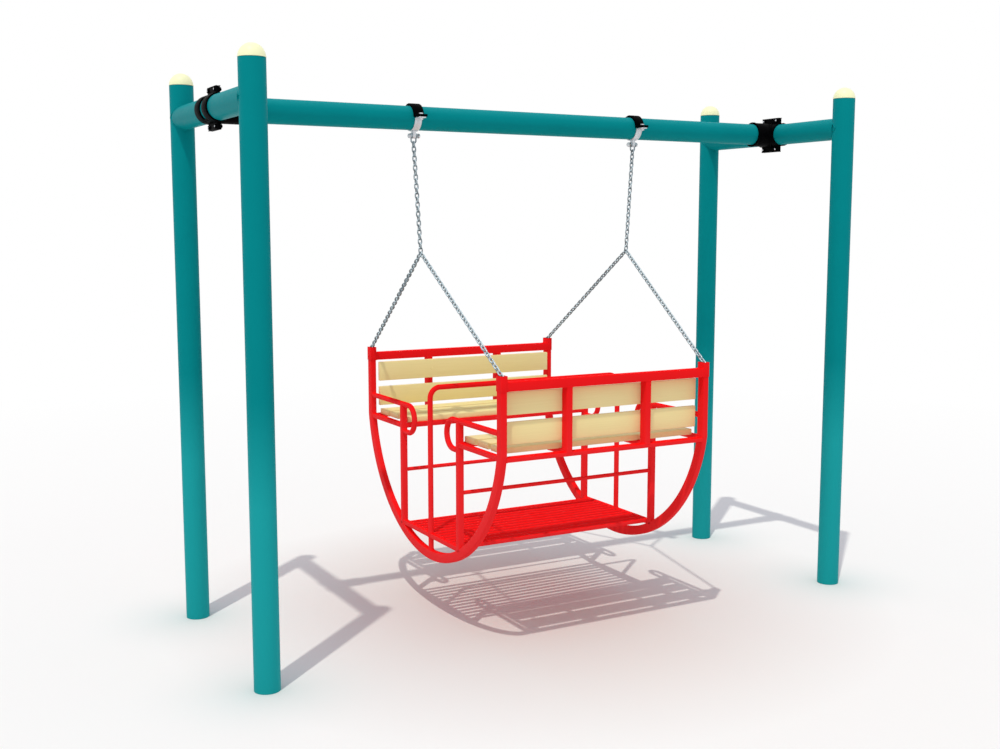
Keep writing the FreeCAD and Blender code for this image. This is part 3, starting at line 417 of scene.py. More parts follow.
def boxSection(across, deep, corner):
    # A rounded rectangle of edges across Z, the section of a rectangular tube
    part = bmesh.new()
    bmesh.ops.create_grid(part, x_segments=1, y_segments=1, size=0.5)
    bmesh.ops.scale(part, vec=(across, deep, 1), verts=part.verts)
    bmesh.ops.bevel(part, geom=part.verts[:], offset=corner, offset_type="OFFSET", segments=4, profile=0.5,
                    affect="VERTICES", material=-1)
    bmesh.ops.delete(part, geom=part.faces[:], context="FACES_ONLY")
    return part


def bead(radius, size, sides):
    # A round bead of weld, which lies in the plane across Z
    part = roundSection(size, 8)
    part.transform(Matrix.Translation((radius, 0, 0)) @ layAlong["Y"])
    spin(part, part.edges[:], origin, (0, 0, 1), 2 * pi, sides, True)
    faceOut(part)
    return part


def copeBeads(radius, size):
    # The weld where a pipe along -Y ends on the side of a pipe along Z of the same size
    halves = []
    for side in both:
        part = bead(radius, size, 64)
        part.transform(Matrix.Rotation(side * pi / 4, 4, "X") @ Matrix.Diagonal((1, sqrt(2), 1, 1)))
        cutAway(part, (0, 1, 0))
        halves.append(part)
    return halves


def openTops(part, count, wall, depth):
    # Hollows the highest faces, as the cut ends of a tube
    for face in sorted(part.faces, key=lambda one: -one.calc_center_median().z)[:count]:
        bmesh.ops.inset_individual(part, faces=[face], thickness=wall, depth=0)
        bmesh.ops.inset_individual(part, faces=[face], thickness=0.00005, depth=-depth)


def lay(part, *rows):
    # Turns or mirrors a part, with one row for each of its new X, Y and Z
    part.transform(Matrix(rows).to_4x4())
    faceOut(part)
    return part


def put(shape, part, middle=origin, axis="Z", turn=Matrix()):
    part.transform(Matrix.Translation(middle) @ turn @ layAlong[axis])
    spare = bpy.data.meshes.new("spare")
    part.to_mesh(spare)
    part.free()
    shape.from_mesh(spare)
    bpy.data.meshes.remove(spare)


def putOn(shape, part, axis, spot, rise):
    # Puts a part with its middle over spot along the axis
    middle = Vector(spot)
    middle["XYZ".index(axis)] += rise
    put(shape, part, middle, axis)


def addObject(name, data):
    item = bpy.data.objects.new(name, data)
    bpy.context.scene.collection.objects.link(item)
    return item


def placeMesh(name, shape):
    mesh = bpy.data.meshes.new(name)
    shape.to_mesh(mesh)
    shape.free()
    return addObject(name, mesh)


def addPiece(node, shape, body, slot, name="", sharpFrom=32):
    # A piece has the name of its node in camel case, if it isn't given another
    first, *rest = node.split("_")
    piece = placeMesh(name or first + "".join(word.title() for word in rest), shape)
    piece.data.shade_smooth()
    piece.data.set_sharp_from_angle(angle=radians(sharpFrom))
    piece.data.materials.append(materials[slot])
    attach(piece, body)
    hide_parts(node)


# Teal pipe portal, with the welds where the cross tubes meet the posts

portalLook = {"x": 1.616, "y": 0.5595, "beamZ": 2.49, "radius": 0.05715, "postTop": 2.645,
              "beamHalf": 1.5515, "cutEdge": 0.0012, "weld": 0.0026, "weldOut": 0.0005, "sides": 72,
              "domeLift": 0.0012, "rim": 0.004, "rimInner": 0.05115, "rimOuter": 0.05805, "rimEdge": 0.0006}


def makePortal():
    look = portalLook
    radius, sides, top = look["radius"], look["sides"], look["postTop"]
    for depth, ySign in depths:
        for end, xSign in ends:
            spot = Vector((xSign * look["x"], ySign * look["y"], 0))
            shape = bmesh.new()
            putOn(shape, rod(radius, top, sides, look["cutEdge"]), "Z", spot, top / 2)
            addPiece(f"post_{depth}_{end}", shape, "portal", "teal_paint")

            shape = bmesh.new()
            dome = bmesh.new()
            bmesh.ops.create_uvsphere(dome, u_segments=sides, v_segments=sides // 2, radius=radius)
            cutAway(dome, (0, 0, -1))
            closeRims(dome)
            putOn(shape, dome, "Z", spot, top + look["domeLift"])
            putOn(shape, ring(look["rimInner"], look["rimOuter"], look["rim"], look["rimEdge"], sides), "Z",
                  spot, top + look["rim"] / 2 + look["rimEdge"])
            addPiece(f"post_cap_{depth}_{end}", shape, "portal", "cream_plastic",
                     f"dome{depth.title()}{end.title()}")
    for end, xSign in ends:
        shape = bmesh.new()
        middle = Vector((xSign * look["x"], 0, look["beamZ"]))
        put(shape, rod(radius, 2 * look["y"] - radius, sides), middle, "Y")
        for ySign in both:
            turn = Matrix.Rotation(0 if ySign > 0 else pi, 4, "Z")
            for half in copeBeads(radius + look["weldOut"], look["weld"]):
                put(shape, half, middle + Vector((0, ySign * look["y"], 0)), turn=turn)
        addPiece(f"cross_tube_{end}", shape, "portal", "teal_paint")
    shape = bmesh.new()
    put(shape, rod(radius, 2 * look["beamHalf"], sides), (0, 0, look["beamZ"]), "X")
    addPiece("top_beam", shape, "portal", "teal_paint")
    print("portal made")


# Cast clamps: two joined half bands outside, and a half saddle with the socket of the beam inside

clampLook = {"bore": 0.0574, "wall": 0.0065, "saddleHalf": 0.081, "shellHalf": 0.094, "reach": 0.095,
             "flange": 0.008, "flangeHalf": 0.070, "flangeSink": 0.003, "lip": 0.003, "lipSink": 0.001,
             "lipEdge": 0.0012, "parting": 0.001, "mouth": 0.149, "collarWall": 0.008, "collarBead": 0.012,
             "beadEdge": 0.0028, "windowHalf": 0.0205, "windowFrom": 40, "edge": 0.0018, "fillet": 0.005,
             "filletOut": 0.0012}


def halfBands(half):
    # Start, turn, length and middle of each band, where the outer half has a window between its two
    look = clampLook
    if half == "inner":
        return [(0, pi, 2 * look["saddleHalf"], 0)]
    far, near = look["shellHalf"], look["windowHalf"]
    bridge = radians(look["windowFrom"])
    bands = [(0, pi, far - near, ySign * (far + near) / 2) for ySign in both]
    return bands + [(start, bridge, 2 * near + 2 * look["edge"], 0) for start in (0, pi - bridge)]


def addCollar(shape, middle, towards):
    look = clampLook
    bore, wall, far = look["bore"], look["collarWall"], look["mouth"]
    near = look["parting"] + look["flange"]
    collar = ring(bore, bore + wall, far - near, look["edge"], 64)
    putOn(shape, collar, "X", middle, towards * (far + near) / 2)
    lip = ring(bore + look["lipSink"], bore + wall + look["lip"], look["collarBead"], look["beadEdge"], 64)
    putOn(shape, lip, "X", middle, towards * (far - look["collarBead"] / 2))
    for fillet in copeBeads(bore + look["wall"] + look["filletOut"], look["fillet"]):
        put(shape, lay(fillet, (0, -towards, 0), (0, 0, 1), (1, 0, 0)), middle)


def makeClamps():
    look = clampLook
    outer = look["bore"] + look["wall"]
    parting, flange, reach, edge = look["parting"], look["flange"], look["reach"], look["edge"]
    for end, xSign in ends:
        middle = Vector((xSign * portalLook["x"], 0, portalLook["beamZ"]))
        for half, towards in (("outer", xSign), ("inner", -xSign)):
            shape = bmesh.new()
            for start, turn, length, y in halfBands(half):
                band = ring(look["bore"], outer, length, edge, round(40 * turn / pi), turn)
                band.transform(Matrix.Rotation(start, 4, "Z"))
                put(shape, lay(band, (0, towards, 0), (0, 0, 1), (1, 0, 0)),
                    middle + Vector((towards * parting, y, 0)))
            for zSign in both:
                low = outer - look["flangeSink"]
                put(shape, bar((flange, 2 * look["flangeHalf"], reach - low), edge),
                    middle + Vector((towards * (parting + flange / 2), 0, zSign * (low + reach) / 2)))
                lip, sink = look["lip"], look["lipSink"]
                put(shape, bar((2 * lip, 2 * look["flangeHalf"], lip + sink), look["lipEdge"]),
                    middle + Vector((towards * (parting + flange - sink), 0,
                                     zSign * (reach - (lip + sink) / 2))))
            if half == "inner":
                addCollar(shape, middle, towards)
            addPiece(f"clamp_{half}_{end}", shape, "portal", "black_casting")
    print("clamps made")


# Hangers: a black band over the beam and a galvanised one under it, with the lug for the pivot

hangerLook = {"x": 0.645, "bore": 0.0574, "upper": (0.052, 0.012, "black_casting"),
              "lower": (0.036, 0.005, "galvanised_steel"), "ear": 0.107, "earSink": 0.001, "gap": 0.0005,
              "pivotZ": 2.406, "lug": (0.016, 0.013), "lugSink": 0.002, "edge": 0.0012}


def makeHangers():
    look = hangerLook
    bore, gap, edge, pivotZ = look["bore"], look["gap"], look["edge"], look["pivotZ"]
    for end, xSign in ends:
        middle = Vector((xSign * look["x"], 0, portalLook["beamZ"]))
        for half, zSign in (("upper", 1), ("lower", -1)):
            width, wall, slot = look[half]
            shape = bmesh.new()
            band = ring(bore, bore + wall, width, edge, 40, pi)
            putOn(shape, lay(band, (0, 0, 1), (1, 0, 0), (0, zSign, 0)), "Z", middle, zSign * gap)
            low = bore + look["earSink"]
            for ySign in both:
                put(shape, bar((width, look["ear"] - low, wall), edge),
                    middle + Vector((0, ySign * (look["ear"] + low) / 2, zSign * (gap + wall / 2))))
            if half == "lower":
                thick, radius = look["lug"]
                top = middle.z - bore - look["lugSink"]
                put(shape, bar((thick, 2 * radius, top - pivotZ), edge), (middle.x, 0, (top + pivotZ) / 2))
                put(shape, rod(radius, thick, 40, edge), (middle.x, 0, pivotZ), "X")
            addPiece(f"hanger_{half}_{end}", shape, "portal", slot)
    print("hangers made")


# Bolts and nuts with chamfered hexagons, washers and the end of the shank. The radius and height of a
# hexagon and the radius of a washer are shares of the bolt's size.

boltLook = {"radius": 0.98, "head": 0.64, "nut": 0.8, "washer": (1.06, 0.0016), "chamfer": 0.0009,
            "end": 0.003, "endEdge": 0.0006, "tip": (0.004, 0.002), "fineEdge": 0.0003,
            "clamp": {"size": 0.010, "y": 0.052, "rise": 0.080, "face": 0.0091},
            "hanger": {"size": 0.010, "y": 0.088, "over": 0.0126, "under": 0.0056},
            "pivot": {"size": 0.012, "from": 0.621, "to": 0.662}}


def addHexagon(shape, axis, spot, size, share, side):
    # A head or nut that stands from a face at spot, towards side, on its washer
    look = boltLook
    thick = share * size
    wide, thin = look["washer"]
    putOn(shape, rod(look["radius"] * size, thick, 6, look["chamfer"]), axis, spot, side * thick / 2)
    putOn(shape, rod(wide * size, thin, 32, look["fineEdge"]), axis, spot, side * thin / 2)


def addShank(shape, axis, spot, size, length, side):
    # The shank stands out past the nut, which starts length away from spot
    length += boltLook["nut"] * size + boltLook["end"]
    putOn(shape, rod(size / 2, length, 24, boltLook["endEdge"]), axis, spot, side * length / 2)


def makeBolts():
    look = boltLook
    head, nut = look["head"], look["nut"]
    clampBolts, boltTips, clampNuts, hangerBolts, pivotBolts, nuts = [bmesh.new() for number in range(6)]
    for xSign in both:
        size, y, rise, face = look["clamp"].values()
        for ySign in both:
            for zSign in both:
                spot = Vector((xSign * portalLook["x"], ySign * y, portalLook["beamZ"] + zSign * rise))
                out = Vector((xSign * face, 0, 0))
                addHexagon(clampBolts, "X", spot + out, size, head, xSign)
                radius, length = look["tip"]
                putOn(boltTips, rod(radius, length, 24, look["fineEdge"]), "X", spot + out,
                      xSign * head * size)
                addShank(boltTips, "X", spot - out, size, 0, -xSign)
                addHexagon(clampNuts, "X", spot - out, size, nut, -xSign)
        size, y, over, under = look["hanger"].values()
        for ySign in both:
            spot = Vector((xSign * hangerLook["x"], ySign * y, portalLook["beamZ"]))
            addHexagon(hangerBolts, "Z", spot + Vector((0, 0, over)), size, head, 1)
            addShank(hangerBolts, "Z", spot - Vector((0, 0, under)), size, 0, -1)
            addHexagon(nuts, "Z", spot - Vector((0, 0, under)), size, nut, -1)
        size, near, far = look["pivot"].values()
        inside = (xSign * near, 0, hangerLook["pivotZ"])
        addHexagon(pivotBolts, "X", inside, size, head, -xSign)
        addShank(pivotBolts, "X", inside, size, far - near, xSign)
        addHexagon(nuts, "X", (xSign * far, 0, hangerLook["pivotZ"]), size, nut, xSign)
    addPiece("clamp_bolts", clampBolts, "portal", "black_casting")
    addPiece("clamp_bolts", boltTips, "portal", "galvanised_steel", "clampBoltTips")
    addPiece("lock_nuts", clampNuts, "portal", "black_casting", "clampNuts")
    addPiece("hanger_bolts", hangerBolts, "portal", "galvanised_steel")
    addPiece("pivot_bolts", pivotBolts, "portal", "galvanised_steel")
    addPiece("lock_nuts", nuts, "portal", "galvanised_steel")
    print("bolts and nuts made")


# Stirrups, with their bronze bushes

stirrupLook = {"rod": 0.004, "eye": 0.0125, "bore": 0.00811, "offset": 0.0125, "drop": 0.034,
               "bowTop": 0.00911, "edge": 0.001, "bush": (0.00608, 0.00805, 0.0084, 0.0003)}


def makeStirrups():
    look = stirrupLook
    offset = look["offset"]
    bowZ = offset - look["drop"]
    legs = look["bowTop"] + bowZ
    for end, xSign in ends:
        pivot = Vector((xSign * hangerLook["x"], 0, hangerLook["pivotZ"]))
        shape = bmesh.new()
        bushes = bmesh.new()
        for side in both:
            eye = ring(look["bore"], look["eye"], 2 * look["rod"], look["edge"], 36)
            putOn(shape, eye, "X", pivot, side * offset)
            putOn(bushes, ring(*look["bush"], 36), "X", pivot, side * offset)
        bow = roundSection(look["rod"], 16)
        bow.transform(Matrix.Translation((-offset, 0, -look["bowTop"])))
        put(shape, sweep(bow, ("run", (0, 0, legs)), ("turn", (0, 0, bowZ), (0, 1, 0), -pi, 20),
                         ("run", (0, 0, -legs))), pivot)
        addPiece(f"stirrup_{end}", shape, f"{end}_chain", "chain_steel")
        addPiece(f"pivot_bush_{end}", bushes, f"{end}_chain", "bronze", f"bushes{end.title()}")
    print("stirrups made")


# Chains of welded links. The links of the back bridles are turned a little about their run.

chainLook = {"rod": 0.0035, "width": 0.0245, "pitch": 0.0222, "play": 0.00025, "sides": 6, "turns": 5,
             "twist": {"front": 0, "back": 12}, "twistOver": 6, "sharpFrom": 80,
             "junction": (0.611, 0, 1.83998), "pin": (0.566, 0.7477, 1.303), "pinRadius": 0.004}


def linkPart(inside):
    # One link along X, flat in XY, with the given length inside
    look = chainLook
    reach = look["width"] / 2 - look["rod"]
    straight = inside + 2 * look["rod"] - 2 * reach
    part = roundSection(look["rod"], look["sides"])
    part.transform(Matrix.Translation((-straight / 2, reach, 0)) @ layAlong["X"])
    edges = part.edges[:]
    for side in (1, -1):
        edges = carry(part, edges, ("run", (side * straight, 0, 0)),
                      ("turn", (side * straight / 2, 0, 0), (0, 0, 1), -pi, look["turns"]))
    bmesh.ops.remove_doubles(part, verts=part.verts, dist=0.00001)
    faceOut(part)
    return part


def linkFrame(middle, along, across):
    return Matrix.Translation(middle) @ Matrix((along, across, along.cross(across))).transposed().to_4x4()


def addChain(shape, first, last, across, twist=0):
    # The links between the ends are turned by twist, which builds up over a few of them
    look = chainLook
    rodSize, play = look["rod"], look["play"]
    along = last - first
    distance = along.length - 2 * rodSize
    along.normalize()
    across = (across - along * across.dot(along)).normalized()
    count = 2 * round(distance / look["pitch"] / 2)
    pitch = (distance - play) / count
    for index in range(count):
        middle = first + along * ((pitch + play) / 2 + rodSize + pitch * index)
        grown = min(1, index / look["twistOver"], (count - 1 - index) / look["twistOver"])
        width = Matrix.Rotation(radians(twist * grown + 90 * (index % 2)), 3, along) @ across
        put(shape, linkPart(pitch + play), turn=linkFrame(middle, along, width))
    return count


def makeChains():
    look = chainLook
    rodSize, play, sharp = look["rod"], look["play"], look["sharpFrom"]
    hook = look["width"] / 2 - 3 * rodSize - play
    inside = look["pitch"] + play
    half = inside / 2 + 2 * rodSize - look["width"] / 2
    links = 0
    for end, xSign in ends:
        junction = Vector((xSign * look["junction"][0], 0, look["junction"][2]))
        bow = Vector((xSign * hangerLook["x"], 0, hangerLook["pivotZ"] - stirrupLook["drop"]))
        down = (junction - bow).normalized()
        shape = bmesh.new()
        links += addChain(shape, bow - down * (stirrupLook["rod"] + play + rodSize), junction,
                          Vector((0, 1, 0)))
        addPiece(f"main_chain_{end}", shape, f"{end}_chain", "chain_steel", sharpFrom=sharp)

        centre = junction + down * hook
        shape = bmesh.new()
        put(shape, linkPart(inside), turn=linkFrame(centre, Vector((0, 1, 0)), down))
        addPiece(f"apex_link_{end}", shape, "gondola", "chain_steel", sharpFrom=sharp)
        for depth, ySign in depths:
            pin = Vector((xSign * look["pin"][0], ySign * look["pin"][1], look["pin"][2]))
            corner = centre + Vector((0, ySign * half, 0))
            pull = (pin - corner).normalized()
            last = pin + pull * (look["pinRadius"] + play + rodSize)
            shape = bmesh.new()
            links += addChain(shape, corner + pull * hook, last, Vector((1, 0, 0)), look["twist"][depth])
            addPiece(f"bridle_{depth}_{end}", shape, "gondola", "chain_steel", sharpFrom=sharp)
    print("chains made:", links, "links")


# Hoops: rectangular tube bent to a bow, with upright legs and open ends

hoopLook = {"x": 0.566, "width": 0.030, "deep": 0.048, "radius": 0.772, "centreZ": 1.068, "legY": 0.7617,
            "top": 1.288, "corner": 0.0045, "wall": 0.0025, "hollow": 0.06, "steps": 72,
            "kinkOver": 0.006, "kinkLeast": 0.002}


def makeHoops():
    look = hoopLook
    lean = acos(look["legY"] / look["radius"])
    kink = look["centreZ"] - look["radius"] * sin(lean) + look["kinkOver"]
    centre = Vector((0, 0, look["centreZ"]))
    for end, xSign in ends:
        part = boxSection(look["width"], look["deep"], look["corner"])
        part.transform(Matrix.Translation(centre) @ Matrix.Rotation(-lean, 4, "X")
                       @ Matrix.Translation((0, look["radius"] - look["deep"] / 2, 0)))
        edges = part.edges[:]
        last = spin(part, edges, centre, (1, 0, 0), 2 * lean - pi, look["steps"])
        for rim in (edges, last):
            # A short ring keeps the kink under the leg crisp
            for level in (kink, look["top"]):
                verts, rim = extrude(part, rim)
                for vert in verts:
                    vert.co.z = max(level, vert.co.z + look["kinkLeast"])
        closeRims(part)
        openTops(part, 2, look["wall"], look["hollow"])
        shape = bmesh.new()
        put(shape, part, (xSign * look["x"], 0, 0))
        addPiece(f"hoop_{end}", shape, "gondola", "red_paint")
    print("hoops made")


# Sleeves on the hoop ends, with the pins that the chains hang on

capLook = {"y": 0.7377, "top": 1.312, "length": 0.071, "size": (0.0344, 0.0524), "corner": 0.005,
           "wall": 0.002, "floor": 0.004, "edge": 0.0006, "pin": 0.004, "pinProud": 0.0004,
           "pinEdge": 0.0005}


def makeCaps():
    look = capLook
    sleeves = bmesh.new()
    pins = bmesh.new()
    length = look["length"]
    for xSign in both:
        for ySign in both:
            x = xSign * hoopLook["x"]
            part = sweep(boxSection(*look["size"], look["corner"]), ("run", (0, 0, length)))
            roundEdges(part, sharpEdges(part, 70), look["edge"])
            openTops(part, 1, look["wall"], length - look["floor"])
            put(sleeves, part, (x, ySign * look["y"], look["top"] - length))
            put(pins, rod(look["pin"], look["size"][0] + 2 * look["pinProud"], 24, look["pinEdge"]),
                (x, ySign * chainLook["pin"][1], chainLook["pin"][2]), "X")
    addPiece("hoop_caps", sleeves, "gondola", "red_paint", "hoopSleeves")
    addPiece("anchor_pins", pins, "gondola", "red_paint")
    print("sleeves made")


# Square and rectangular tubes, with a bead of weld round each end

tubeLook = {"corner": 0.003, "bead": 0.0022, "beadExtra": 0.00264, "beadRound": 0.00198}


def addTube(shape, middle, size, axis, welded=True):
    look = tubeLook
    middle, size = Vector(middle), Vector(size)
    put(shape, bar(size, look["corner"], axis, 3), middle)
    if welded:
        number = "XYZ".index(axis)
        half = size[number] / 2
        extent = size + Vector((1, 1, 1)) * look["beadExtra"]
        extent[number] = 2 * look["bead"]
        for side in both:
            spot = middle.copy()
            spot[number] += side * half
            put(shape, bar(extent, look["beadRound"], None, 3), spot)


# Backrest frames: a deep top rail, a flat lower rail and two uprights

benchLook = {"y": 0.7377, "deep": 0.048, "topRail": (1.241, 1.283), "topHalf": 0.5486,
             "lowRail": (0.920, 0.940), "lowHalf": 0.5508, "uprightX": 0.221, "uprightWidth": 0.030,
             "uprightDeep": 0.0474, "uprightSink": 0.001}


def makeBenchFrames():
    look = benchLook
    bottom = look["lowRail"][1] - look["uprightSink"]
    top = look["topRail"][0] + look["uprightSink"]
    for depth, ySign in depths:
        shape = bmesh.new()
        y = ySign * look["y"]
        for half, (low, high) in ((look["topHalf"], look["topRail"]), (look["lowHalf"], look["lowRail"])):
            addTube(shape, (0, y, (low + high) / 2), (2 * half, look["deep"], high - low), "X")
        for side in both:
            addTube(shape, (side * look["uprightX"], y, (bottom + top) / 2),
                    (look["uprightWidth"], look["uprightDeep"], top - bottom), "Z")
        addPiece(f"bench_frame_{depth}", shape, "gondola", "red_paint")
    print("backrest frames made")


# Seat frames: front rail, side rails, supports and the posts up to the armrests

seatLook = {"postY": 0.323, "post": 0.030, "postLow": 0.412, "postTop": 1.043, "rail": (0.922, 0.947),
            "slim": 0.025, "supportX": 0.221, "railEnd": 0.712}


def makeSeatFrames():
    look = seatLook
    low, high = look["rail"]
    post, slim, start, far = look["post"], look["slim"], look["postY"], look["railEnd"]
    postLow, postTop = look["postLow"], look["postTop"]
    for depth, ySign in depths:
        shape = bmesh.new()
        y = ySign * start
        addTube(shape, (0, y, (low + high) / 2), (2 * hoopLook["x"] - post, slim, high - low), "X")
        for side in both:
            x = side * hoopLook["x"]
            addTube(shape, (x, y, (postLow + postTop) / 2), (post, post, postTop - postLow), "Z", False)
            for where, near in ((x, start + post / 2), (side * look["supportX"], start + slim / 2)):
                addTube(shape, (where, ySign * (near + far) / 2, (low + high) / 2),
                        (slim, far - near, high - low), "Y")
        addPiece(f"seat_frame_{depth}", shape, "gondola", "red_paint")
    print("seat frames made")


# Round tubes: curled armrests, leg guards and the grab rail

roundLook = {"arm": 0.014, "armZ": 1.048, "armFall": 0.143, "armTurnY": 0.258, "armStart": 0.716,
             "armEnd": 0.309, "guard": 0.010, "guardZ": 0.699, "guardSink": 0.001, "grab": 0.0135,
             "grabZ": 1.172, "grabBend": 0.055, "grabFoot": 0.338, "sides": 28, "bead": 0.0024,
             "beadOut": 0.0006, "guardBeadOut": 0.0005}


def makeArmrests():
    look = roundLook
    start, turnY, last = look["armStart"], look["armTurnY"], look["armEnd"]
    high, fall = look["armZ"], look["armFall"]
    joints = ((capLook["y"] - hoopLook["deep"] / 2, high),
              (seatLook["postY"] - seatLook["post"] / 2, high - fall))
    for depth, ySign in depths:
        for end, xSign in ends:
            x = xSign * hoopLook["x"]
            part = roundSection(look["arm"], look["sides"])
            part.transform(Matrix.Translation((0, ySign * start, high)) @ layAlong["Y"])
            sweep(part, ("run", (0, ySign * (turnY - start), 0)),
                  ("turn", (0, ySign * turnY, high - fall / 2), (1, 0, 0), ySign * pi, 32),
                  ("run", (0, ySign * (last - turnY), 0)))
            shape = bmesh.new()
            put(shape, part, (x, 0, 0))
            for y, z in joints:
                put(shape, bead(look["arm"] + look["beadOut"], look["bead"], 32), (x, ySign * y, z), "Y")
            addPiece(f"armrest_{depth}_{end}", shape, "gondola", "red_paint")
    print("armrests made")


def makeGuardsAndGrab():
    look = roundLook
    sides = look["sides"]
    half = hoopLook["x"] - seatLook["post"] / 2
    for depth, ySign in depths:
        shape = bmesh.new()
        y, z = ySign * seatLook["postY"], look["guardZ"]
        put(shape, rod(look["guard"], 2 * (half + look["guardSink"]), sides), (0, y, z), "X")
        for side in both:
            put(shape, bead(look["guard"] + look["guardBeadOut"], look["bead"], sides),
                (side * half, y, z), "X")
        addPiece(f"leg_guard_{depth}", shape, "gondola", "red_paint")
    shape = bmesh.new()
    foot = look["grabFoot"]
    turnX, turnZ = hoopLook["x"] - look["grabBend"], look["grabZ"] - look["grabBend"]
    part = roundSection(look["grab"], sides)
    part.transform(Matrix.Translation((-hoopLook["x"], 0, foot)))
    bends = [("turn", (side * turnX, 0, turnZ), (0, 1, 0), pi / 2, 16) for side in both]
    rise = turnZ - foot
    sweep(part, ("run", (0, 0, rise)), bends[0], ("run", (2 * turnX, 0, 0)), bends[1],
          ("run", (0, 0, -rise)))
    put(shape, part)
    bowTop = hoopLook["centreZ"] - hoopLook["radius"] + hoopLook["deep"]
    for side in both:
        put(shape, bead(look["grab"] + look["beadOut"], look["bead"], 32),
            (side * hoopLook["x"], 0, bowTop))
    addPiece("grab_rail", shape, "gondola", "red_paint")
    print("leg guards and grab rail made")


# Foot deck: thirteen bars between two end rails

deckLook = {"top": 0.432, "rail": 0.025, "railHalf": 0.3078, "railGap": 0.0105, "bar": (0.024, 0.020),
            "drop": 0.003, "outerY": 0.2754, "count": 13, "half": 0.5535}


def makeDeck():
    look = deckLook
    rail, near, far = look["rail"], look["railGap"], look["railHalf"]
    shape = bmesh.new()
    for side in both:
        for ySign in both:
            addTube(shape, (side * hoopLook["x"], ySign * (near + far) / 2, look["top"] - rail / 2),
                    (rail, far - near, rail), "Y")
    addPiece("deck_frame", shape, "gondola", "red_paint", "deckRails")
    shape = bmesh.new()
    width, height = look["bar"]
    top = look["top"] - look["drop"]
    for index in range(look["count"]):
        y = look["outerY"] * (2 * index / (look["count"] - 1) - 1)
        addTube(shape, (0, y, top - height / 2), (2 * look["half"], width, height), "X")
    addPiece("deck_bars", shape, "gondola", "red_paint")
    print("foot deck made")


# Boards with eased edges, and the flat bolt heads sunk in them

boardLook = {"half": 0.540, "edge": 0.0028, "seat": (0.104, 0.028), "seatFront": 0.324, "seatStep": 0.130,
             "seatZ": 0.947, "back": (0.020, 0.104), "backFace": 0.7137, "backLevels": (0.991, 1.127),
             "boltX": 0.221, "head": (0.0088, 0.0035, 0.0003, 0.0005)}


def addHeads(shape, axis, y, z, side):
    # Each head stands a hair proud of the board, as its paint does
    radius, thick, proud, edge = boardLook["head"]
    for xSign in both:
        putOn(shape, rod(radius, thick, 32, edge), axis, (xSign * boardLook["boltX"], y, z),
              side * (proud - thick / 2))


def makeBoards():
    look = boardLook
    length, edge, face = 2 * look["half"], look["edge"], look["backFace"]
    heads = bmesh.new()
    for depth, ySign in depths:
        shape = bmesh.new()
        width, thick = look["seat"]
        for index in range(3):
            y = ySign * (look["seatFront"] + width / 2 + index * look["seatStep"])
            put(shape, bar((length, width, thick), edge, None, 3), (0, y, look["seatZ"] + thick / 2))
            addHeads(heads, "Z", y, look["seatZ"] + thick, 1)
        addPiece(f"seat_boards_{depth}", shape, "gondola", "cream_boards")
        thick, width = look["back"]
        for level, low in zip(("lower", "upper"), look["backLevels"]):
            shape = bmesh.new()
            z = low + width / 2
            put(shape, bar((length, thick, width), edge, None, 3), (0, ySign * (face - thick / 2), z))
            addHeads(heads, "Y", ySign * (face - thick), z, -ySign)
            addPiece(f"back_board_{depth}_{level}", shape, "gondola", "cream_boards")
    addPiece("board_bolts", heads, "gondola", "cream_boards")
    print("boards made")


makePortal()
makeClamps()
makeHangers()
makeBolts()
makeStirrups()
makeChains()
makeHoops()
makeCaps()
makeBenchFrames()
makeSeatFrames()
makeArmrests()
makeGuardsAndGrab()
makeDeck()
makeBoards()


# Floor, light and camera. The floor has painted shade: darker and warmer in its middle under the gondola,
# and darker round each foot. Far out it goes over to plain white, as the sky does, for what the camera
# sees.

# near is the colour of the painted shade under the gondola, and footShade that of the painted shade round
# each foot
stageLook = {"size": 60.0, "tint": (0.885, 0.885, 0.86, 1), "near": (0.65, 0.607, 0.58, 1),
             "fade": (0.3, 1.9), "foot": (1.616, 0.5595, 0), "footFade": (0.6, 0.05), "footPower": 2.0,
             "footShade": (0.72, 0.77, 0.75, 1), "clear": (3.2, 9.0), "white": (1, 1, 1, 1)}
sunLook = {"towards": (-0.2955, -0.2657, 0.9177), "energy": 1.56, "angle": 0.9, "tint": (1.0, 0.98, 0.90)}
skyLook = {"tint": (0.645, 0.645, 0.715, 1)}
cameraLook = {"place": (-3.1248, -5.3364, 1.9683), "pitch": 0.1229, "turn": -0.5062, "lens": 42.954}


def seenDirectly(tree):
    # The rays that the camera sees, on their own or through gloss or glass
    paths = addNode(tree, "ShaderNodeLightPath").outputs
    seen = mathNode(tree, "MAXIMUM", paths["Is Camera Ray"], paths["Is Glossy Ray"])
    return mathNode(tree, "MAXIMUM", seen, paths["Is Transmission Ray"])


def endStage(tree, mask, lit, white, kind):
    blend = addNode(tree, "ShaderNodeMixShader")
    tree.links.new(mask, blend.inputs[0])
    tree.links.new(lit.outputs[0], blend.inputs[1])
    tree.links.new(white.outputs[0], blend.inputs[2])
    tree.links.new(blend.outputs[0], addNode(tree, kind).inputs["Surface"])


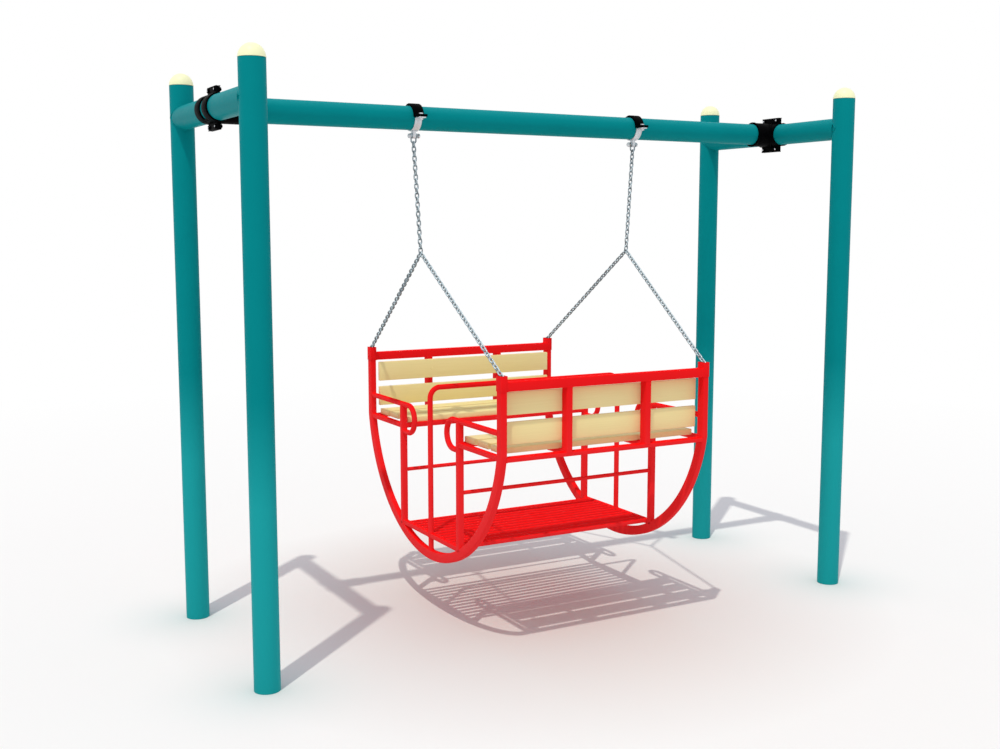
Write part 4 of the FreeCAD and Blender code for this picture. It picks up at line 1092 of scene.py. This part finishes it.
def makeStage():
    look = stageLook
    ground = bmesh.new()
    bmesh.ops.create_circle(ground, cap_ends=True, segments=96, radius=look["size"])
    floor = placeMesh("studioFloor", ground)
    material = bpy.data.materials.new("studio_floor")
    material.use_nodes = True
    tree = material.node_tree
    tree.nodes.clear()
    spot = addNode(tree, "ShaderNodeTexCoord").outputs["Object"]
    reach = vectorNode(tree, "LENGTH", spot)["Value"]
    # Painted shade: darker and warmer floor under the gondola, fading out with distance from the middle
    tint = mixColour(tree, spread(tree, reach, *look["fade"]), look["near"], look["tint"])
    # Painted shade round each post foot, strongest at the foot
    folded = vectorNode(tree, "ABSOLUTE", spot)["Vector"]
    footWay = vectorNode(tree, "DISTANCE", folded, look["foot"])["Value"]
    footShadeMask = mathNode(tree, "POWER", spread(tree, footWay, *look["footFade"]), look["footPower"])
    tint = mixColour(tree, footShadeMask, tint, look["footShade"])
    paint = addNode(tree, "ShaderNodeBsdfDiffuse")
    tree.links.new(tint, paint.inputs["Color"])
    glow = addNode(tree, "ShaderNodeEmission", Color=look["white"])
    clear = mathNode(tree, "MULTIPLY", spread(tree, reach, *look["clear"]), seenDirectly(tree))
    endStage(tree, clear, paint, glow, "ShaderNodeOutputMaterial")
    floor.data.materials.append(material)


def makeSky():
    world = bpy.data.worlds.new("studioSky")
    world.use_nodes = True
    bpy.context.scene.world = world
    tree = world.node_tree
    tree.nodes.clear()
    ambient = addNode(tree, "ShaderNodeBackground", Color=skyLook["tint"])
    white = addNode(tree, "ShaderNodeBackground", Color=stageLook["white"])
    endStage(tree, seenDirectly(tree), ambient, white, "ShaderNodeOutputWorld")


def makeSun():
    lamp = bpy.data.lights.new("sun", "SUN")
    lamp.energy = sunLook["energy"]
    lamp.angle = radians(sunLook["angle"])
    lamp.color = sunLook["tint"]
    item = addObject("sun", lamp)
    item.location = Vector(sunLook["towards"]) * 8
    item.rotation_euler = Vector(sunLook["towards"]).to_track_quat("Z", "Y").to_euler()


def makeCamera():
    data = bpy.data.cameras.new("camera")
    data.lens = cameraLook["lens"]
    data.sensor_width = 36
    item = addObject("camera", data)
    item.location = cameraLook["place"]
    item.rotation_euler = (pi / 2 - cameraLook["pitch"], 0, cameraLook["turn"])
    bpy.context.scene.camera = item


makeStage()
makeSky()
makeSun()
makeCamera()
bpy.context.scene.view_settings.view_transform = "Standard"
print("stage, light and camera ready")
